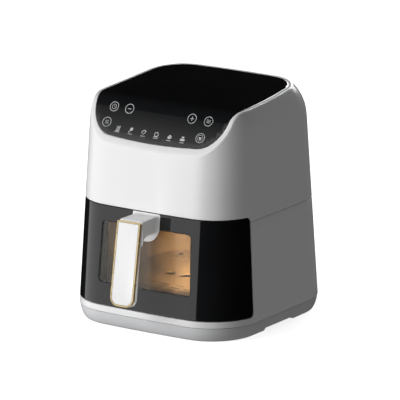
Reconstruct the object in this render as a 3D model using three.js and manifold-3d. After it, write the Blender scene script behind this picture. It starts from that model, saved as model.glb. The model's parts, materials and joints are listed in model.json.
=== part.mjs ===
// Countertop air fryer with a window drawer. Millimetres, +Z up, the drawer pulls out along -Y.
// The casing is a rounded, slightly tapered tower. A black drawer front wraps its lower front,
// and behind it a basket rides in a steel cavity under a ring heater and a two-wheel fan.
import * as THREE from "three";
import { mergeVertices } from "three/addons/utils/BufferGeometryUtils.js";
import Module from "manifold-3d";

const wasm = await Module();
wasm.setup();

// ---------------------------------------------------------------- driving dimensions
// Casing outline, measured where the casing meets its base
const HALF_WIDTH = 132.8;
const HALF_DEPTH = 134.1;
const CORNER_RADIUS = 68.4;
const END_BULGE = 4.7; // how far the front and back bow out at their middle
const SIDE_BULGE = 2.6;
const SIDE_TAPER = 0.038; // each in mm per mm of height
const FRONT_TAPER = 0.086;
const BACK_TAPER = 0.095;
const CORNER_TAPER = 0.05;
// Heights
const BASE_TOP = 20;
const BAND_TOP = 29; // top of the narrow shell band under the drawer front
const SHELL_SEAM = 155.2; // joint of lower and upper shell
const DRAWER_TOP = 160.9;
const WALL_TOP = 240.1; // where the front wall turns into the control slope
// Top of the casing, in side view
const SLOPE_ANGLE = THREE.MathUtils.degToRad(58);
const SLOPE_REACH = 35.7; // depth of the control slope
const DECK_BEND = 26; // radius between slope and deck
const DECK_FRONT_RISE = 0.05;
const DECK_BACK_RISE = 0.1;
const DECK_SAG_RADIUS = 1500;
const SHOULDER_START = WALL_TOP + 18.2; // above here the sides lean in
const SHOULDER_RISE = 50.7;
const SHOULDER_LEAN = 14.6;
const SHOULDER_POWER = 2.83;
const SHOULDER_LEVELS = [0, 16, 28, 38, 48, 58];
const INNER_LEVELS = [0, 28, 58]; // coarser steps for hidden faces
// Walls and fits
const WALL = 2.6;
const FIT = 0.3; // clearance between pieces that touch
const SEAM = 0.8; // visible gap round the drawer front
const RIM = 4.6; // shell edge left round the top panel
const PANEL = 3;
const LEDGE = 3;
const LEDGE_WIDTH = 6;
const SHEET = 1; // formed steel
// Drawer front and its window
const DRAWER_EDGE = -70.5; // Y where the wrapped ends of the drawer front stop
const DRAWER_CORNER = 5.5;
const DRAWER_WALL = 3;
const WINDOW_TOP_HALF = 69;
const WINDOW_BOTTOM_HALF = 72;
const WINDOW_LOW = 60;
const WINDOW_HIGH = 140.7;
const WINDOW_CORNER = 5;
const SIGHT_DEPTH = 18; // from the drawer's face back to the inner pane
const PANE_MARGIN = 0.8;
const SEAL_WIDTH = 2.6;
// Basket and cavity
const CAVITY_MARGIN = 23; // casing half width to cavity half width, at the base
const AIR_GAP = 5; // basket to cavity side wall
const CAVITY_BACK_MARGIN = 29.5;
const BACK_AIR_GAP = 7.5;
const CAVITY_CORNER = 50;
const CAVITY_FLOOR = 31;
const RAIL_HEIGHT = 2;
const BASKET_WALL = 1.5;
const BASKET_TOP = 152;
const PLATE_HEIGHT = 13; // crisper plate above the basket floor
const PLATE_SHEET = 1.6;
// Heating chamber and fans, as heights above the cavity
const CHAMBER_RADIUS = 102;
const CHAMBER_HEIGHT = 46;
const ELEMENT_HEIGHT = 13;
const ELEMENT_RADIUS = 3.2;
const ELEMENT_PITCH = 12; // between the element's turns
const SHAFT_RADIUS = 3;
const HOT_FAN_RADIUS = 56;
const COOL_FAN_RADIUS = 50;
const MOTOR_RADIUS = 30;
const MOTOR_HEIGHT = 31;
// Handle
const GRIP_WIDTH = 35.8;
const GRIP_REACH = 40.7; // drawer face to the upper edge of the grip's face
const GRIP_DROP = 3.4; // drawer top to that edge
const GRIP_LENGTH = 111;
const GRIP_LEAN = THREE.MathUtils.degToRad(9.9);
const GRIP_THICK_TOP = 9;
const GRIP_THICK_FOOT = 13;
const TRIM = 2; // gold border
const FACE = 1.8;
const ARM_WIDTH = 35.8;
const ARM_TOP = DRAWER_TOP - 2.9;
const ARM_HEIGHT = 23;
const PAD_HALF = 21.3;
const PAD_LOW = 123;
// Feet
const FOOT_RADIUS = 9;
const FOOT_HEIGHT = 1.9;
const FOOT_INSET = 49; // casing edge to foot centre
const SCREW_INSET = 33;
const SCREW_Y = 25;
const SKID_BOTTOM = 1;

// ---------------------------------------------------------------- outlines
const SIDE_STEPS = 1;
const CORNER_STEPS = 5;
const END_STEPS = 2;

function arc(centre, radius, from, to, steps) {
  const points = [];
  for (let i = 0; i < steps; i += 1) {
    const angle = from + ((to - from) * i) / steps;
    const x = centre.x + radius * Math.cos(angle);
    points.push(new THREE.Vector2(x, centre.y + radius * Math.sin(angle)));
  }
  return points;
}

// A quarter of the casing outline: side arc, corner arc and end arc, each tangent to the next.
function quarter(a, b, radius) {
  const sideRadius = (b * b + SIDE_BULGE ** 2) / (2 * SIDE_BULGE);
  const endRadius = (a * a + END_BULGE ** 2) / (2 * END_BULGE);
  const side = new THREE.Vector2(a - sideRadius, 0);
  const end = new THREE.Vector2(0, b - endRadius);
  const span = side.distanceTo(end);
  const fromSide = sideRadius - radius;
  const fromEnd = endRadius - radius;
  const along = (fromSide ** 2 - fromEnd ** 2 + span ** 2) / (2 * span);
  const off = Math.sqrt(fromSide ** 2 - along ** 2);
  const unit = end.clone().sub(side).divideScalar(span);
  const normal = new THREE.Vector2(-unit.y, unit.x);
  const corner = side.clone().addScaledVector(unit, along).addScaledVector(normal, off);
  const low = corner.clone().sub(side).angle();
  const high = corner.clone().sub(end).angle();
  return [
    ...arc(side, sideRadius, 0, low, SIDE_STEPS),
    ...arc(corner, radius, low, high, CORNER_STEPS),
    ...arc(end, endRadius, high, Math.PI / 2, END_STEPS),
    new THREE.Vector2(0, b),
  ];
}

function outline(a, front, back, radius) {
  const rear = quarter(a, back, radius);
  const fore = quarter(a, front, radius);
  const turned = (points, x, y) => points.map((p) => new THREE.Vector2(p.x * x, p.y * y));
  return [
    ...rear.slice(0, -1),
    ...turned(rear, -1, 1).reverse().slice(0, -1),
    ...turned(fore, -1, -1).slice(0, -1),
    ...turned(fore, 1, -1).reverse().slice(0, -1),
  ];
}

// The casing outline at height z, moved in by inset.
function casingRing(z, inset) {
  const rise = z - BASE_TOP;
  const climb = Math.max(0, z - SHOULDER_START) / SHOULDER_RISE;
  const lean = SHOULDER_LEAN * climb ** SHOULDER_POWER;
  const a = HALF_WIDTH - rise * SIDE_TAPER - lean - inset;
  const front = HALF_DEPTH - rise * FRONT_TAPER - 0.4 * lean - inset;
  const back = HALF_DEPTH - rise * BACK_TAPER - lean - inset;
  const radius = CORNER_RADIUS - rise * CORNER_TAPER - 0.5 * lean - inset;
  return { z, points: outline(a, front, back, radius) };
}

// A closed or open polygon whose corners are rounded, each with its own radius.
function rounded(points, radii, closed = true) {
  const result = [];
  const count = points.length;
  points.forEach(([x, y], i) => {
    const here = new THREE.Vector2(x, y);
    const radius = Array.isArray(radii) ? radii[i] : radii;
    const isEnd = !closed && (i === 0 || i === count - 1);
    if (isEnd || radius === 0) {
      result.push(here);
      return;
    }
    const before = new THREE.Vector2(...points[(i + count - 1) % count]).sub(here).normalize();
    const after = new THREE.Vector2(...points[(i + 1) % count]).sub(here).normalize();
    const half = Math.acos(THREE.MathUtils.clamp(before.dot(after), -1, 1)) / 2;
    const cut = radius / Math.tan(half);
    const middle = before.clone().add(after).normalize();
    const centre = here.clone().addScaledVector(middle, radius / Math.sin(half));
    const start = here.clone().addScaledVector(before, cut).sub(centre);
    const finish = here.clone().addScaledVector(after, cut).sub(centre);
    let sweep = finish.angle() - start.angle();
    if (sweep > Math.PI) sweep -= 2 * Math.PI;
    if (sweep < -Math.PI) sweep += 2 * Math.PI;
    const steps = Math.max(1, Math.round(Math.abs(sweep) / (Math.PI / 10)));
    const first = start.angle();
    for (let k = 0; k <= steps; k += 1) {
      const angle = first + (sweep * k) / steps;
      const px = centre.x + radius * Math.cos(angle);
      result.push(new THREE.Vector2(px, centre.y + radius * Math.sin(angle)));
    }
  });
  return result;
}

function rectangle(x0, x1, y0, y1, radii = 0) {
  return rounded([[x0, y0], [x1, y0], [x1, y1], [x0, y1]], radii);
}

function circle(x, y, radius, sides = 16) {
  return arc(new THREE.Vector2(x, y), radius, 0, 2 * Math.PI, sides);
}

// ---------------------------------------------------------------- solids
function solid(geometry) {
  geometry.deleteAttribute("normal");
  geometry.deleteAttribute("uv");
  const merged = mergeVertices(geometry, 1e-4);
  return new wasm.Manifold(
    new wasm.Mesh({
      numProp: 3,
      vertProperties: new Float32Array(merged.attributes.position.array),
      triVerts: new Uint32Array(merged.index.array),
    }),
  );
}

// A closed skin through rings of equal count, from the lowest up.
function loft(rings) {
  const count = rings[0].points.length;
  const positions = [];
  const faces = [];
  rings.forEach(({ z, points }) => points.forEach((p) => positions.push(p.x, p.y, z)));
  for (let level = 0; level < rings.length - 1; level += 1) {
    for (let i = 0; i < count; i += 1) {
      const a = level * count + i;
      const b = level * count + ((i + 1) % count);
      faces.push(a, b, b + count, a, b + count, a + count);
    }
  }
  const bottom = positions.length / 3;
  positions.push(0, 0, rings[0].z, 0, 0, rings[rings.length - 1].z);
  const upper = (rings.length - 1) * count;
  for (let i = 0; i < count; i += 1) {
    const next = (i + 1) % count;
    faces.push(bottom, next, i, bottom + 1, upper + i, upper + next);
  }
  const geometry = new THREE.BufferGeometry();
  geometry.setAttribute("position", new THREE.Float32BufferAttribute(positions, 3));
  geometry.setIndex(faces);
  return solid(geometry);
}

// A flat outline swept straight along one axis. Outlines are (x, y) for z, (y, z) for x, (x, z) for y.
const SWEEPS = {
  x: new THREE.Matrix4().makeBasis(
    new THREE.Vector3(0, 1, 0),
    new THREE.Vector3(0, 0, 1),
    new THREE.Vector3(1, 0, 0),
  ),
  y: new THREE.Matrix4().makeBasis(
    new THREE.Vector3(1, 0, 0),
    new THREE.Vector3(0, 0, 1),
    new THREE.Vector3(0, -1, 0),
  ),
  z: new THREE.Matrix4(),
};

function sweep(axis, points, from, to) {
  const geometry = new THREE.ExtrudeGeometry(new THREE.Shape(points), {
    depth: to - from,
    bevelEnabled: false,
  });
  geometry.applyMatrix4(SWEEPS[axis]);
  const start = axis === "y" ? to : from;
  geometry.translate(axis === "x" ? start : 0, axis === "y" ? start : 0, axis === "z" ? start : 0);
  return solid(geometry);
}

function block(x0, x1, y0, y1, z0, z1) {
  const geometry = new THREE.BoxGeometry(x1 - x0, y1 - y0, z1 - z0);
  geometry.translate((x0 + x1) / 2, (y0 + y1) / 2, (z0 + z1) / 2);
  return solid(geometry);
}

function disc(x, y, radius, z0, z1, sides = 24) {
  return sweep("z", circle(x, y, radius, sides), z0, z1);
}

function ring(outer, inner, z0, z1, sides = 32) {
  return disc(0, 0, outer, z0, z1, sides).subtract(disc(0, 0, inner, z0 - 1, z1 + 1, sides));
}

function joined(pieces) {
  return pieces.reduce((all, piece) => all.add(piece));
}

function cut(body, pieces) {
  return pieces.reduce((left, piece) => left.subtract(piece), body);
}

function casing(inset, levels) {
  return loft(levels.map((z) => casingRing(z, inset)));
}

// ---------------------------------------------------------------- shared places
const frontWall = (z) => -(HALF_DEPTH - (z - BASE_TOP) * FRONT_TAPER);
const backWall = (z) => HALF_DEPTH - (z - BASE_TOP) * BACK_TAPER;
const GRIP_TOP = [frontWall(DRAWER_TOP) - GRIP_REACH, DRAWER_TOP - GRIP_DROP];
const SLOPE_FOOT = [frontWall(WALL_TOP), WALL_TOP];
const BEND = [SLOPE_FOOT[0] + SLOPE_REACH, WALL_TOP + SLOPE_REACH * Math.tan(SLOPE_ANGLE)];
const SAG_Y = 3.8;
const SAG = [SAG_Y, BEND[1] + (SAG_Y - BEND[0]) * DECK_FRONT_RISE];
const DECK_END_Y = HALF_DEPTH + 10;
const DECK_END = [DECK_END_Y, SAG[1] + (DECK_END_Y - SAG_Y) * DECK_BACK_RISE];
const UPPER_LEVELS = SHOULDER_LEVELS.map((rise) => SHOULDER_START + rise);
const UNDER_LEVELS = INNER_LEVELS.map((rise) => SHOULDER_START + rise);
const BAY_CEILING = DRAWER_TOP + SEAM + FIT;
const CEILING_SHEET = 2;
const CAVITY_TOP = BAY_CEILING + CEILING_SHEET;
const CAVITY_HALF = HALF_WIDTH - CAVITY_MARGIN;
const CAVITY_BACK = HALF_DEPTH - CAVITY_BACK_MARGIN;
const BASKET_HALF = CAVITY_HALF - SHEET - AIR_GAP;
const BASKET_BACK = CAVITY_BACK - SHEET - BACK_AIR_GAP;
const SIGHT_Y = frontWall((WINDOW_LOW + WINDOW_HIGH) / 2) + SIGHT_DEPTH; // front of the inner pane
const FRAME_PLATE = 2.2;
const BASKET_FRONT = SIGHT_Y + FRAME_PLATE + 0.5;
const BASKET_FLOOR = CAVITY_FLOOR + SHEET + RAIL_HEIGHT + 2 * FIT;
const PLATE_Z = BASKET_FLOOR + BASKET_WALL + PLATE_HEIGHT;
const CHAMBER_Y = (BASKET_FRONT + BASKET_BACK) / 2; // heater and fans sit over the basket's middle
const SHIELD_TOP = CAVITY_TOP + FIT + CHAMBER_HEIGHT;
const BEZEL_BACK = DRAWER_EDGE + 4.5;
const BEZEL_FRONT = BEZEL_BACK - 2.5;
const COOL_FAN_Z = SHIELD_TOP + 4;
const COOL_FAN_HEIGHT = 9;
const BRACKET_Z = COOL_FAN_Z + COOL_FAN_HEIGHT + 4;
const BRACKET_SHEET = 1.5;
const MOTOR_Z = BRACKET_Z + BRACKET_SHEET + FIT;
const SHAFT_TOP = MOTOR_Z + MOTOR_HEIGHT + 4;
const HOT_FAN_Z = CAVITY_TOP + 22;
const HOT_FAN_HEIGHT = 16;
const NUT_HEIGHT = 4;
const VENT_LOW = 166;
const VENT_HIGH = 202;
const VENT_HALF = 44;
const ELEMENT_Z = CAVITY_TOP + ELEMENT_HEIGHT;
const ELEMENT_INNER = HOT_FAN_RADIUS + 10;
const ELEMENT_OUTER = CHAMBER_RADIUS - 12;
const FOUR_WAYS = [[-1, -1], [1, -1], [-1, 1], [1, 1]];
const SCREW_PLACES = FOUR_WAYS.map(([x, y]) => [x * (HALF_WIDTH - SCREW_INSET), y * SCREW_Y]);
const FOOT_PLACES = FOUR_WAYS.map(([x, y]) => [x * (HALF_WIDTH - FOOT_INSET), y * (HALF_DEPTH - FOOT_INSET)]);
const HANDLE_SCREW_X = 9;
const HANDLE_SCREW_Z = 147;

// Everything below the top of the casing, with that top moved down by depth.
function underTop(depth) {
  const forward = [SLOPE_FOOT[0] - 25, WALL_TOP - 25 * Math.tan(SLOPE_ANGLE)];
  const path = [forward, BEND, SAG, DECK_END];
  const shifted = path.map(([y, z], i) => {
    const before = path[Math.max(0, i - 1)];
    const after = path[Math.min(path.length - 1, i + 1)];
    const into = Math.atan2(z - before[1], y - before[0]);
    const out = Math.atan2(after[1] - z, after[0] - y);
    const first = i === 0 ? out : into;
    const last = i === path.length - 1 ? into : out;
    const middle = (first + last) / 2;
    const stretch = depth / Math.cos((first - last) / 2);
    return [y + stretch * Math.sin(middle), z - stretch * Math.cos(middle)];
  });
  const top = rounded(shifted, [0, DECK_BEND - depth, DECK_SAG_RADIUS, 0], false);
  const floor = -20;
  const start = top[0];
  const finish = top[top.length - 1];
  const points = [new THREE.Vector2(start.x, floor), new THREE.Vector2(finish.x, floor), ...top.reverse()];
  return sweep("x", points, -HALF_WIDTH - 20, HALF_WIDTH + 20);
}

// The notch in both shells that the drawer front fills.
function drawerBay() {
  const far = -HALF_DEPTH - 60;
  const edge = DRAWER_EDGE + SEAM;
  const corner = DRAWER_CORNER + SEAM;
  const points = rectangle(far, edge, BAND_TOP - SEAM / 2, DRAWER_TOP + SEAM, [0, corner, corner, 0]);
  return sweep("x", points, -HALF_WIDTH - 20, HALF_WIDTH + 20);
}

function windowOutline(grow) {
  return rounded(
    [
      [-WINDOW_BOTTOM_HALF - grow, WINDOW_LOW - grow],
      [WINDOW_BOTTOM_HALF + grow, WINDOW_LOW - grow],
      [WINDOW_TOP_HALF + grow, WINDOW_HIGH + grow],
      [-WINDOW_TOP_HALF - grow, WINDOW_HIGH + grow],
    ],
    WINDOW_CORNER + Math.max(grow, -3),
  );
}

// ---------------------------------------------------------------- casing pieces
function upperShell() {
  const levels = [SHELL_SEAM + FIT, ...UPPER_LEVELS];
  const under = [SHELL_SEAM - 2, ...UNDER_LEVELS];
  const outer = casing(0, levels).intersect(underTop(0));
  const hollow = casing(WALL, under).intersect(underTop(PANEL + FIT + LEDGE));
  const opening = casing(RIM + LEDGE_WIDTH, under);
  const seat = casing(RIM, [SHELL_SEAM - 2, ...UPPER_LEVELS]).subtract(underTop(PANEL + FIT));
  const vent = block(
    -VENT_HALF - FIT, VENT_HALF + FIT, HALF_DEPTH - 60, HALF_DEPTH + 9, VENT_LOW - FIT, VENT_HIGH + FIT,
  );
  return cut(outer, [hollow, opening, seat, drawerBay(), vent]);
}

function topPanel() {
  const levels = [SHELL_SEAM, ...UPPER_LEVELS];
  return casing(RIM + FIT, levels).intersect(underTop(0)).subtract(underTop(PANEL));
}

function lowerShell() {
  const low = BASE_TOP + FIT;
  const high = SHELL_SEAM - FIT;
  const outer = casing(0, [low, high]);
  const hollow = casing(WALL, [low - 1, high + 1]);
  const deckBottom = BAND_TOP - SEAM / 2 - 2.2;
  const deck = casing(0.5, [deckBottom, BAND_TOP - SEAM / 2]);
  const front = block(-HALF_WIDTH, HALF_WIDTH, -HALF_DEPTH - 5, BEZEL_BACK + 4, low, BAND_TOP);
  const hole = glandHole();
  return cut(outer, [hollow, drawerBay(), hole]).add(deck.intersect(front));
}

const BASE_INSETS = [[SKID_BOTTOM, 8.1], [7, 5], [13, 2.6], [BASE_TOP - FIT, 0.6]];
const NOTCH_FRONT = -37;
const NOTCH_BACK = 35;
const NOTCH_TOP = 6;
const BASE_WALL = 2.5;

function baseBody(inset, lift) {
  const rings = BASE_INSETS.map(([z, own], i) => {
    const height = i === 0 ? z + lift : z;
    return { z: height, points: casingRing(BASE_TOP, own + inset).points };
  });
  return loft(rings);
}

function baseTray() {
  const reach = HALF_WIDTH + 5;
  const channel = block(-reach, reach, NOTCH_FRONT, NOTCH_BACK, -1, NOTCH_TOP);
  const rib = block(-reach, reach, NOTCH_FRONT - BASE_WALL, NOTCH_BACK + BASE_WALL, 0, NOTCH_TOP + BASE_WALL);
  const top = block(-reach, reach, -HALF_DEPTH, HALF_DEPTH, BASE_TOP - 2, BASE_TOP);
  const hollow = baseBody(BASE_WALL, BASE_WALL).subtract(rib).add(baseBody(BASE_WALL, 0).intersect(top));
  const feet = FOOT_PLACES.map(([x, y]) => disc(x, y, FOOT_RADIUS + FIT, 0, FOOT_HEIGHT + FIT, 20));
  const screws = SCREW_PLACES.map(([x, y]) => disc(x, y, 2.2, 0, 12, 12));
  const slots = [-16, -8, 0, 8, 16].map((y) => block(-35, 35, y - 1.5, y + 1.5, 0, 12));
  return cut(baseBody(0, 0), [channel, hollow, ...feet, ...screws, ...slots]);
}

function foot(x, y) {
  return disc(x, y, FOOT_RADIUS, 0, FOOT_HEIGHT, 20);
}

function baseScrew(x, y) {
  const head = disc(x, y, 3.8, NOTCH_TOP - FIT - 2, NOTCH_TOP - FIT, 12);
  return head.add(disc(x, y, 1.8, NOTCH_TOP - 1, 17, 12));
}

const GLAND_X = 45;
const GLAND_Z = 46;
const GLAND_BARREL = 6.5;

function glandHole() {
  const y = backWall(GLAND_Z);
  return sweep("y", circle(GLAND_X, GLAND_Z, GLAND_BARREL + FIT), y - 15, y + 5);
}

function cordGland() {
  const y = backWall(GLAND_Z);
  const flange = sweep("y", circle(GLAND_X, GLAND_Z, 9.5), y - 1.5, y + 2);
  const outside = flange.subtract(casing(-FIT, [BASE_TOP, 80]));
  const barrel = sweep("y", circle(GLAND_X, GLAND_Z, GLAND_BARREL), y - 9, y + 1);
  const bore = sweep("y", circle(GLAND_X, GLAND_Z, 3.6), y - 12, y + 5);
  return outside.add(barrel).subtract(bore);
}

function rearGrille() {
  const levels = [VENT_LOW - 4, VENT_HIGH + 4];
  const skin = casing(0.2, levels).subtract(casing(WALL + 0.4, levels));
  const plate = block(-VENT_HALF, VENT_HALF, HALF_DEPTH - 60, HALF_DEPTH + 9, VENT_LOW, VENT_HIGH);
  const slots = [];
  for (let z = VENT_LOW + 5; z < VENT_HIGH - 3; z += 5.4) {
    slots.push(block(-VENT_HALF + 6, VENT_HALF - 6, HALF_DEPTH - 60, HALF_DEPTH + 9, z, z + 2.6));
  }
  return cut(skin.intersect(plate), slots);
}

// ---------------------------------------------------------------- cavity and heating chamber
const cavityOutline = (inset, front) => rectangle(
  -CAVITY_HALF + inset, CAVITY_HALF - inset, front, CAVITY_BACK - inset,
  [0, 0, CAVITY_CORNER - inset, CAVITY_CORNER - inset],
);
const LAMP_Y = -20;
const LAMP_Z = 134;
const LENS_RADIUS = 13;

// The round way up from the cavity into the heating chamber.
function chamberMouth() {
  return disc(0, CHAMBER_Y, CHAMBER_RADIUS - 5, BAY_CEILING - 1, CAVITY_TOP + 5, 28);
}

function cavityLiner() {
  const front = BEZEL_BACK + FIT;
  const outer = sweep("z", cavityOutline(0, front), CAVITY_FLOOR, CAVITY_TOP);
  const space = sweep("z", cavityOutline(SHEET, front - 9), CAVITY_FLOOR + SHEET, CAVITY_TOP - SHEET);
  const mouth = chamberMouth();
  const lamp = sweep("x", circle(LAMP_Y, LAMP_Z, LENS_RADIUS + FIT), CAVITY_HALF - 5, CAVITY_HALF + 5);
  return cut(outer, [space, mouth, lamp]);
}

function frontBezel() {
  const low = BAND_TOP + FIT;
  const inside = casing(WALL + 2 * FIT, [low, CAVITY_TOP]);
  const wall = block(-HALF_WIDTH, HALF_WIDTH, BEZEL_FRONT, BEZEL_BACK, low, CAVITY_TOP);
  const ceiling = block(-HALF_WIDTH, HALF_WIDTH, -HALF_DEPTH, BEZEL_BACK, BAY_CEILING, CAVITY_TOP);
  const side = BASKET_HALF + 4;
  const opening = rectangle(-side, side, CAVITY_FLOOR, DRAWER_TOP - 1, 6);
  const way = sweep("y", opening, BEZEL_FRONT - 5, BEZEL_BACK + 5);
  return cut(inside.intersect(wall.add(ceiling)), [way, chamberMouth()]);
}

function rail(side) {
  const low = CAVITY_FLOOR + SHEET + FIT;
  const x = side * (BASKET_HALF - 34);
  return block(x - 4, x + 4, BEZEL_BACK + 4, BASKET_BACK - 20, low, low + RAIL_HEIGHT);
}

function heatShield() {
  const low = CAVITY_TOP + FIT;
  const outer = disc(0, 0, CHAMBER_RADIUS, low, SHIELD_TOP, 28);
  const inner = disc(0, 0, CHAMBER_RADIUS - SHEET, low - 1, SHIELD_TOP - SHEET, 28);
  const hub = disc(0, 0, SHAFT_RADIUS + 4, SHIELD_TOP - 5, SHIELD_TOP + 5, 16);
  const exhaust = block(-34, 34, 60, CHAMBER_RADIUS + 5, VENT_LOW + 8, VENT_HIGH - 8);
  const legs = [ELEMENT_INNER, ELEMENT_OUTER].map((reach) =>
    disc(-reach, 0, ELEMENT_RADIUS + 2, SHIELD_TOP - 5, SHIELD_TOP + 5, 10));
  const probe = sweep("x", circle(SENSOR_Y, SENSOR_Z, 2.8, 12), -CHAMBER_RADIUS - 5, -CHAMBER_RADIUS + 25);
  return cut(outer, [inner, hub, exhaust, probe, ...legs]);
}

// Two spiral turns, with both ends turned up through the heat shield.
function heatingElement() {
  const inner = ELEMENT_INNER;
  const outer = ELEMENT_OUTER;
  const top = SHIELD_TOP + 7;
  const bend = 9;
  const turns = Math.max(1, Math.round((outer - inner) / ELEMENT_PITCH));
  const points = [new THREE.Vector3(-inner, 0, top), new THREE.Vector3(-inner, 0, ELEMENT_Z + bend)];
  for (let i = 1; i < 18 * turns; i += 1) {
    const share = i / (18 * turns);
    const angle = Math.PI - share * 2 * Math.PI * turns;
    const radius = inner + (outer - inner) * share;
    points.push(new THREE.Vector3(radius * Math.cos(angle), radius * Math.sin(angle), ELEMENT_Z));
  }
  points.push(new THREE.Vector3(-outer, 0, ELEMENT_Z + bend), new THREE.Vector3(-outer, 0, top));
  const geometry = new THREE.ExtrudeGeometry(new THREE.Shape(circle(0, 0, ELEMENT_RADIUS, 6)), {
    steps: 68,
    bevelEnabled: false,
    extrudePath: new THREE.CatmullRomCurve3(points, false, "centripetal"),
  });
  return solid(geometry);
}

function elementGuard() {
  const low = CAVITY_TOP + FIT;
  const high = low + 2;
  const rings = [[CHAMBER_RADIUS - 2, CHAMBER_RADIUS - 6.5], [68, 66], [36, 34]];
  const circles = rings.map(([outer, inner]) => ring(outer, inner, low, high, 20));
  const bars = [0, 60, 120].map((angle) => {
    const bar = block(-CHAMBER_RADIUS + 4, CHAMBER_RADIUS - 4, -1, 1, low, high);
    return bar.rotate([0, 0, angle]);
  });
  return joined([...circles, ...bars]);
}

const SENSOR_Y = -6;
const SENSOR_Z = CAVITY_TOP + 26;

function temperatureSensor() {
  const wall = -CHAMBER_RADIUS;
  const probe = sweep("x", circle(SENSOR_Y, SENSOR_Z, 2, 12), wall - 4, wall + 16);
  return probe.add(sweep("x", circle(SENSOR_Y, SENSOR_Z, 5, 12), wall - 5, wall - 1.2));
}

function thermalCutout() {
  const low = SHIELD_TOP + FIT;
  const cap = disc(58, -58, 8, low, low + 5, 16);
  const tabs = block(45, 71, -61, -55, low + 5, low + 6);
  return cap.add(disc(58, -58, 8, low, low + 6, 16)).add(tabs);
}

function exhaustDuct() {
  const low = VENT_LOW + 5;
  const high = VENT_HIGH - 5;
  const start = CHAMBER_Y + CHAMBER_RADIUS + 2 * FIT;
  const finish = backWall(VENT_HIGH) - WALL - 0.4 - FIT;
  const outer = block(-37, 37, start, finish, low, high);
  const inner = block(-35.8, 35.8, start - 5, finish + 5, low + 1.2, high - 1.2);
  return outer.subtract(inner);
}

function lampHousing() {
  const x0 = CAVITY_HALF + 1;
  const outer = block(x0, x0 + 12, LAMP_Y - 16, LAMP_Y + 16, LAMP_Z - 16, LAMP_Z + 16);
  const inner = block(x0 - 5, x0 + 10, LAMP_Y - 14, LAMP_Y + 14, LAMP_Z - 14, LAMP_Z + 14);
  return outer.subtract(inner);
}

function lampLens() {
  return sweep("x", circle(LAMP_Y, LAMP_Z, LENS_RADIUS, 20), CAVITY_HALF - SHEET, CAVITY_HALF + 0.6);
}

function lampBulb() {
  const x = CAVITY_HALF + 6;
  const profile = [[0, -9], [2.6, -8], [3.6, -5], [3.6, 5], [2.4, 8], [0, 9]];
  const points = profile.map(([radius, along]) => new THREE.Vector2(radius, along));
  const geometry = new THREE.LatheGeometry(points, 12);
  geometry.translate(x, LAMP_Y, LAMP_Z);
  return solid(geometry);
}

// ---------------------------------------------------------------- motor and fans
function motorBracket() {
  const plate = disc(0, 0, COOL_FAN_RADIUS + 12, BRACKET_Z, BRACKET_Z + BRACKET_SHEET, 32);
  const radius = COOL_FAN_RADIUS + 9;
  const legs = [30, 150, 270].map((angle) => {
    const leg = block(radius - 2, radius + 2, -7, 7, SHIELD_TOP + FIT, BRACKET_Z + 1);
    return leg.rotate([0, 0, angle]);
  });
  const holes = [0, 1, 2, 3, 4, 5].map((i) => {
    const angle = (i * Math.PI) / 3;
    return disc(40 * Math.cos(angle), 40 * Math.sin(angle), 7, BRACKET_Z - 5, BRACKET_Z + 5, 12);
  });
  return cut(joined([plate, ...legs]), [...holes, disc(0, 0, 9, BRACKET_Z - 5, BRACKET_Z + 5, 16)]);
}

function fanMotor() {
  const bore = disc(0, 0, SHAFT_RADIUS + 1.5, MOTOR_Z - 5, SHAFT_TOP, 16);
  const can = disc(0, 0, MOTOR_RADIUS, MOTOR_Z, MOTOR_Z + MOTOR_HEIGHT - 6, 28);
  const stack = block(-34, 34, -24, 24, MOTOR_Z + 6, MOTOR_Z + MOTOR_HEIGHT - 12);
  const cap = disc(0, 0, 12, MOTOR_Z, MOTOR_Z + MOTOR_HEIGHT, 16);
  return joined([can, stack, cap]).subtract(bore);
}

function motorShaft() {
  return disc(0, 0, SHAFT_RADIUS, HOT_FAN_Z - NUT_HEIGHT - 3, SHAFT_TOP, 12);
}

function fanWheel(radius, low, high, blades) {
  const plate = disc(0, 0, radius - 4, high - 1, high, 28);
  const hub = disc(0, 0, 8, low, high, 16);
  const vanes = [];
  for (let i = 0; i < blades; i += 1) {
    const vane = block(6, radius, -0.8, 0.8, low + 1, high - 0.5).rotate([0, 0, 14]);
    vanes.push(vane.translate([0, -3, 0]).rotate([0, 0, (i * 360) / blades]));
  }
  const bore = disc(0, 0, SHAFT_RADIUS + FIT, low - 5, high + 5, 12);
  return joined([plate, hub, ...vanes]).subtract(bore);
}

function hotAirFan() {
  return fanWheel(HOT_FAN_RADIUS, HOT_FAN_Z, HOT_FAN_Z + HOT_FAN_HEIGHT, 8);
}

function coolingFan() {
  return fanWheel(COOL_FAN_RADIUS, COOL_FAN_Z, COOL_FAN_Z + COOL_FAN_HEIGHT, 7);
}

function fanNut() {
  const top = HOT_FAN_Z - FIT;
  const body = disc(0, 0, 6, top - NUT_HEIGHT, top, 6);
  return body.subtract(disc(0, 0, SHAFT_RADIUS + FIT, top - 9, top + 5, 12));
}

// ---------------------------------------------------------------- electronics
const TRAY_Z = SHAFT_TOP + 3;
const BOARD_Z = TRAY_Z + 4;

function boardTray() {
  const inside = casing(WALL + 6 * FIT, [TRAY_Z - 5, TRAY_Z + 12]);
  const plate = block(-HALF_WIDTH, HALF_WIDTH, -12, 72, TRAY_Z, TRAY_Z + 2);
  const posts = [[-58, 3], [58, 3], [-58, 57], [58, 57]].map(([x, y]) =>
    disc(x, y, 3, TRAY_Z + 1, BOARD_Z - FIT, 10));
  return joined([inside.intersect(plate), ...posts]);
}

function powerBoard() {
  const top = BOARD_Z + 1.6;
  return joined([
    block(-63, 63, -2, 62, BOARD_Z, top),
    block(-50, -26, 12, 34, top - 0.5, top + 18),
    block(-14, 6, 36, 52, top - 0.5, top + 15),
    disc(26, 20, 8, top - 0.5, top + 20, 16),
    disc(44, 20, 6, top - 0.5, top + 16, 16),
    block(22, 54, 40, 44, top - 0.5, top + 14),
  ]);
}

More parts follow.
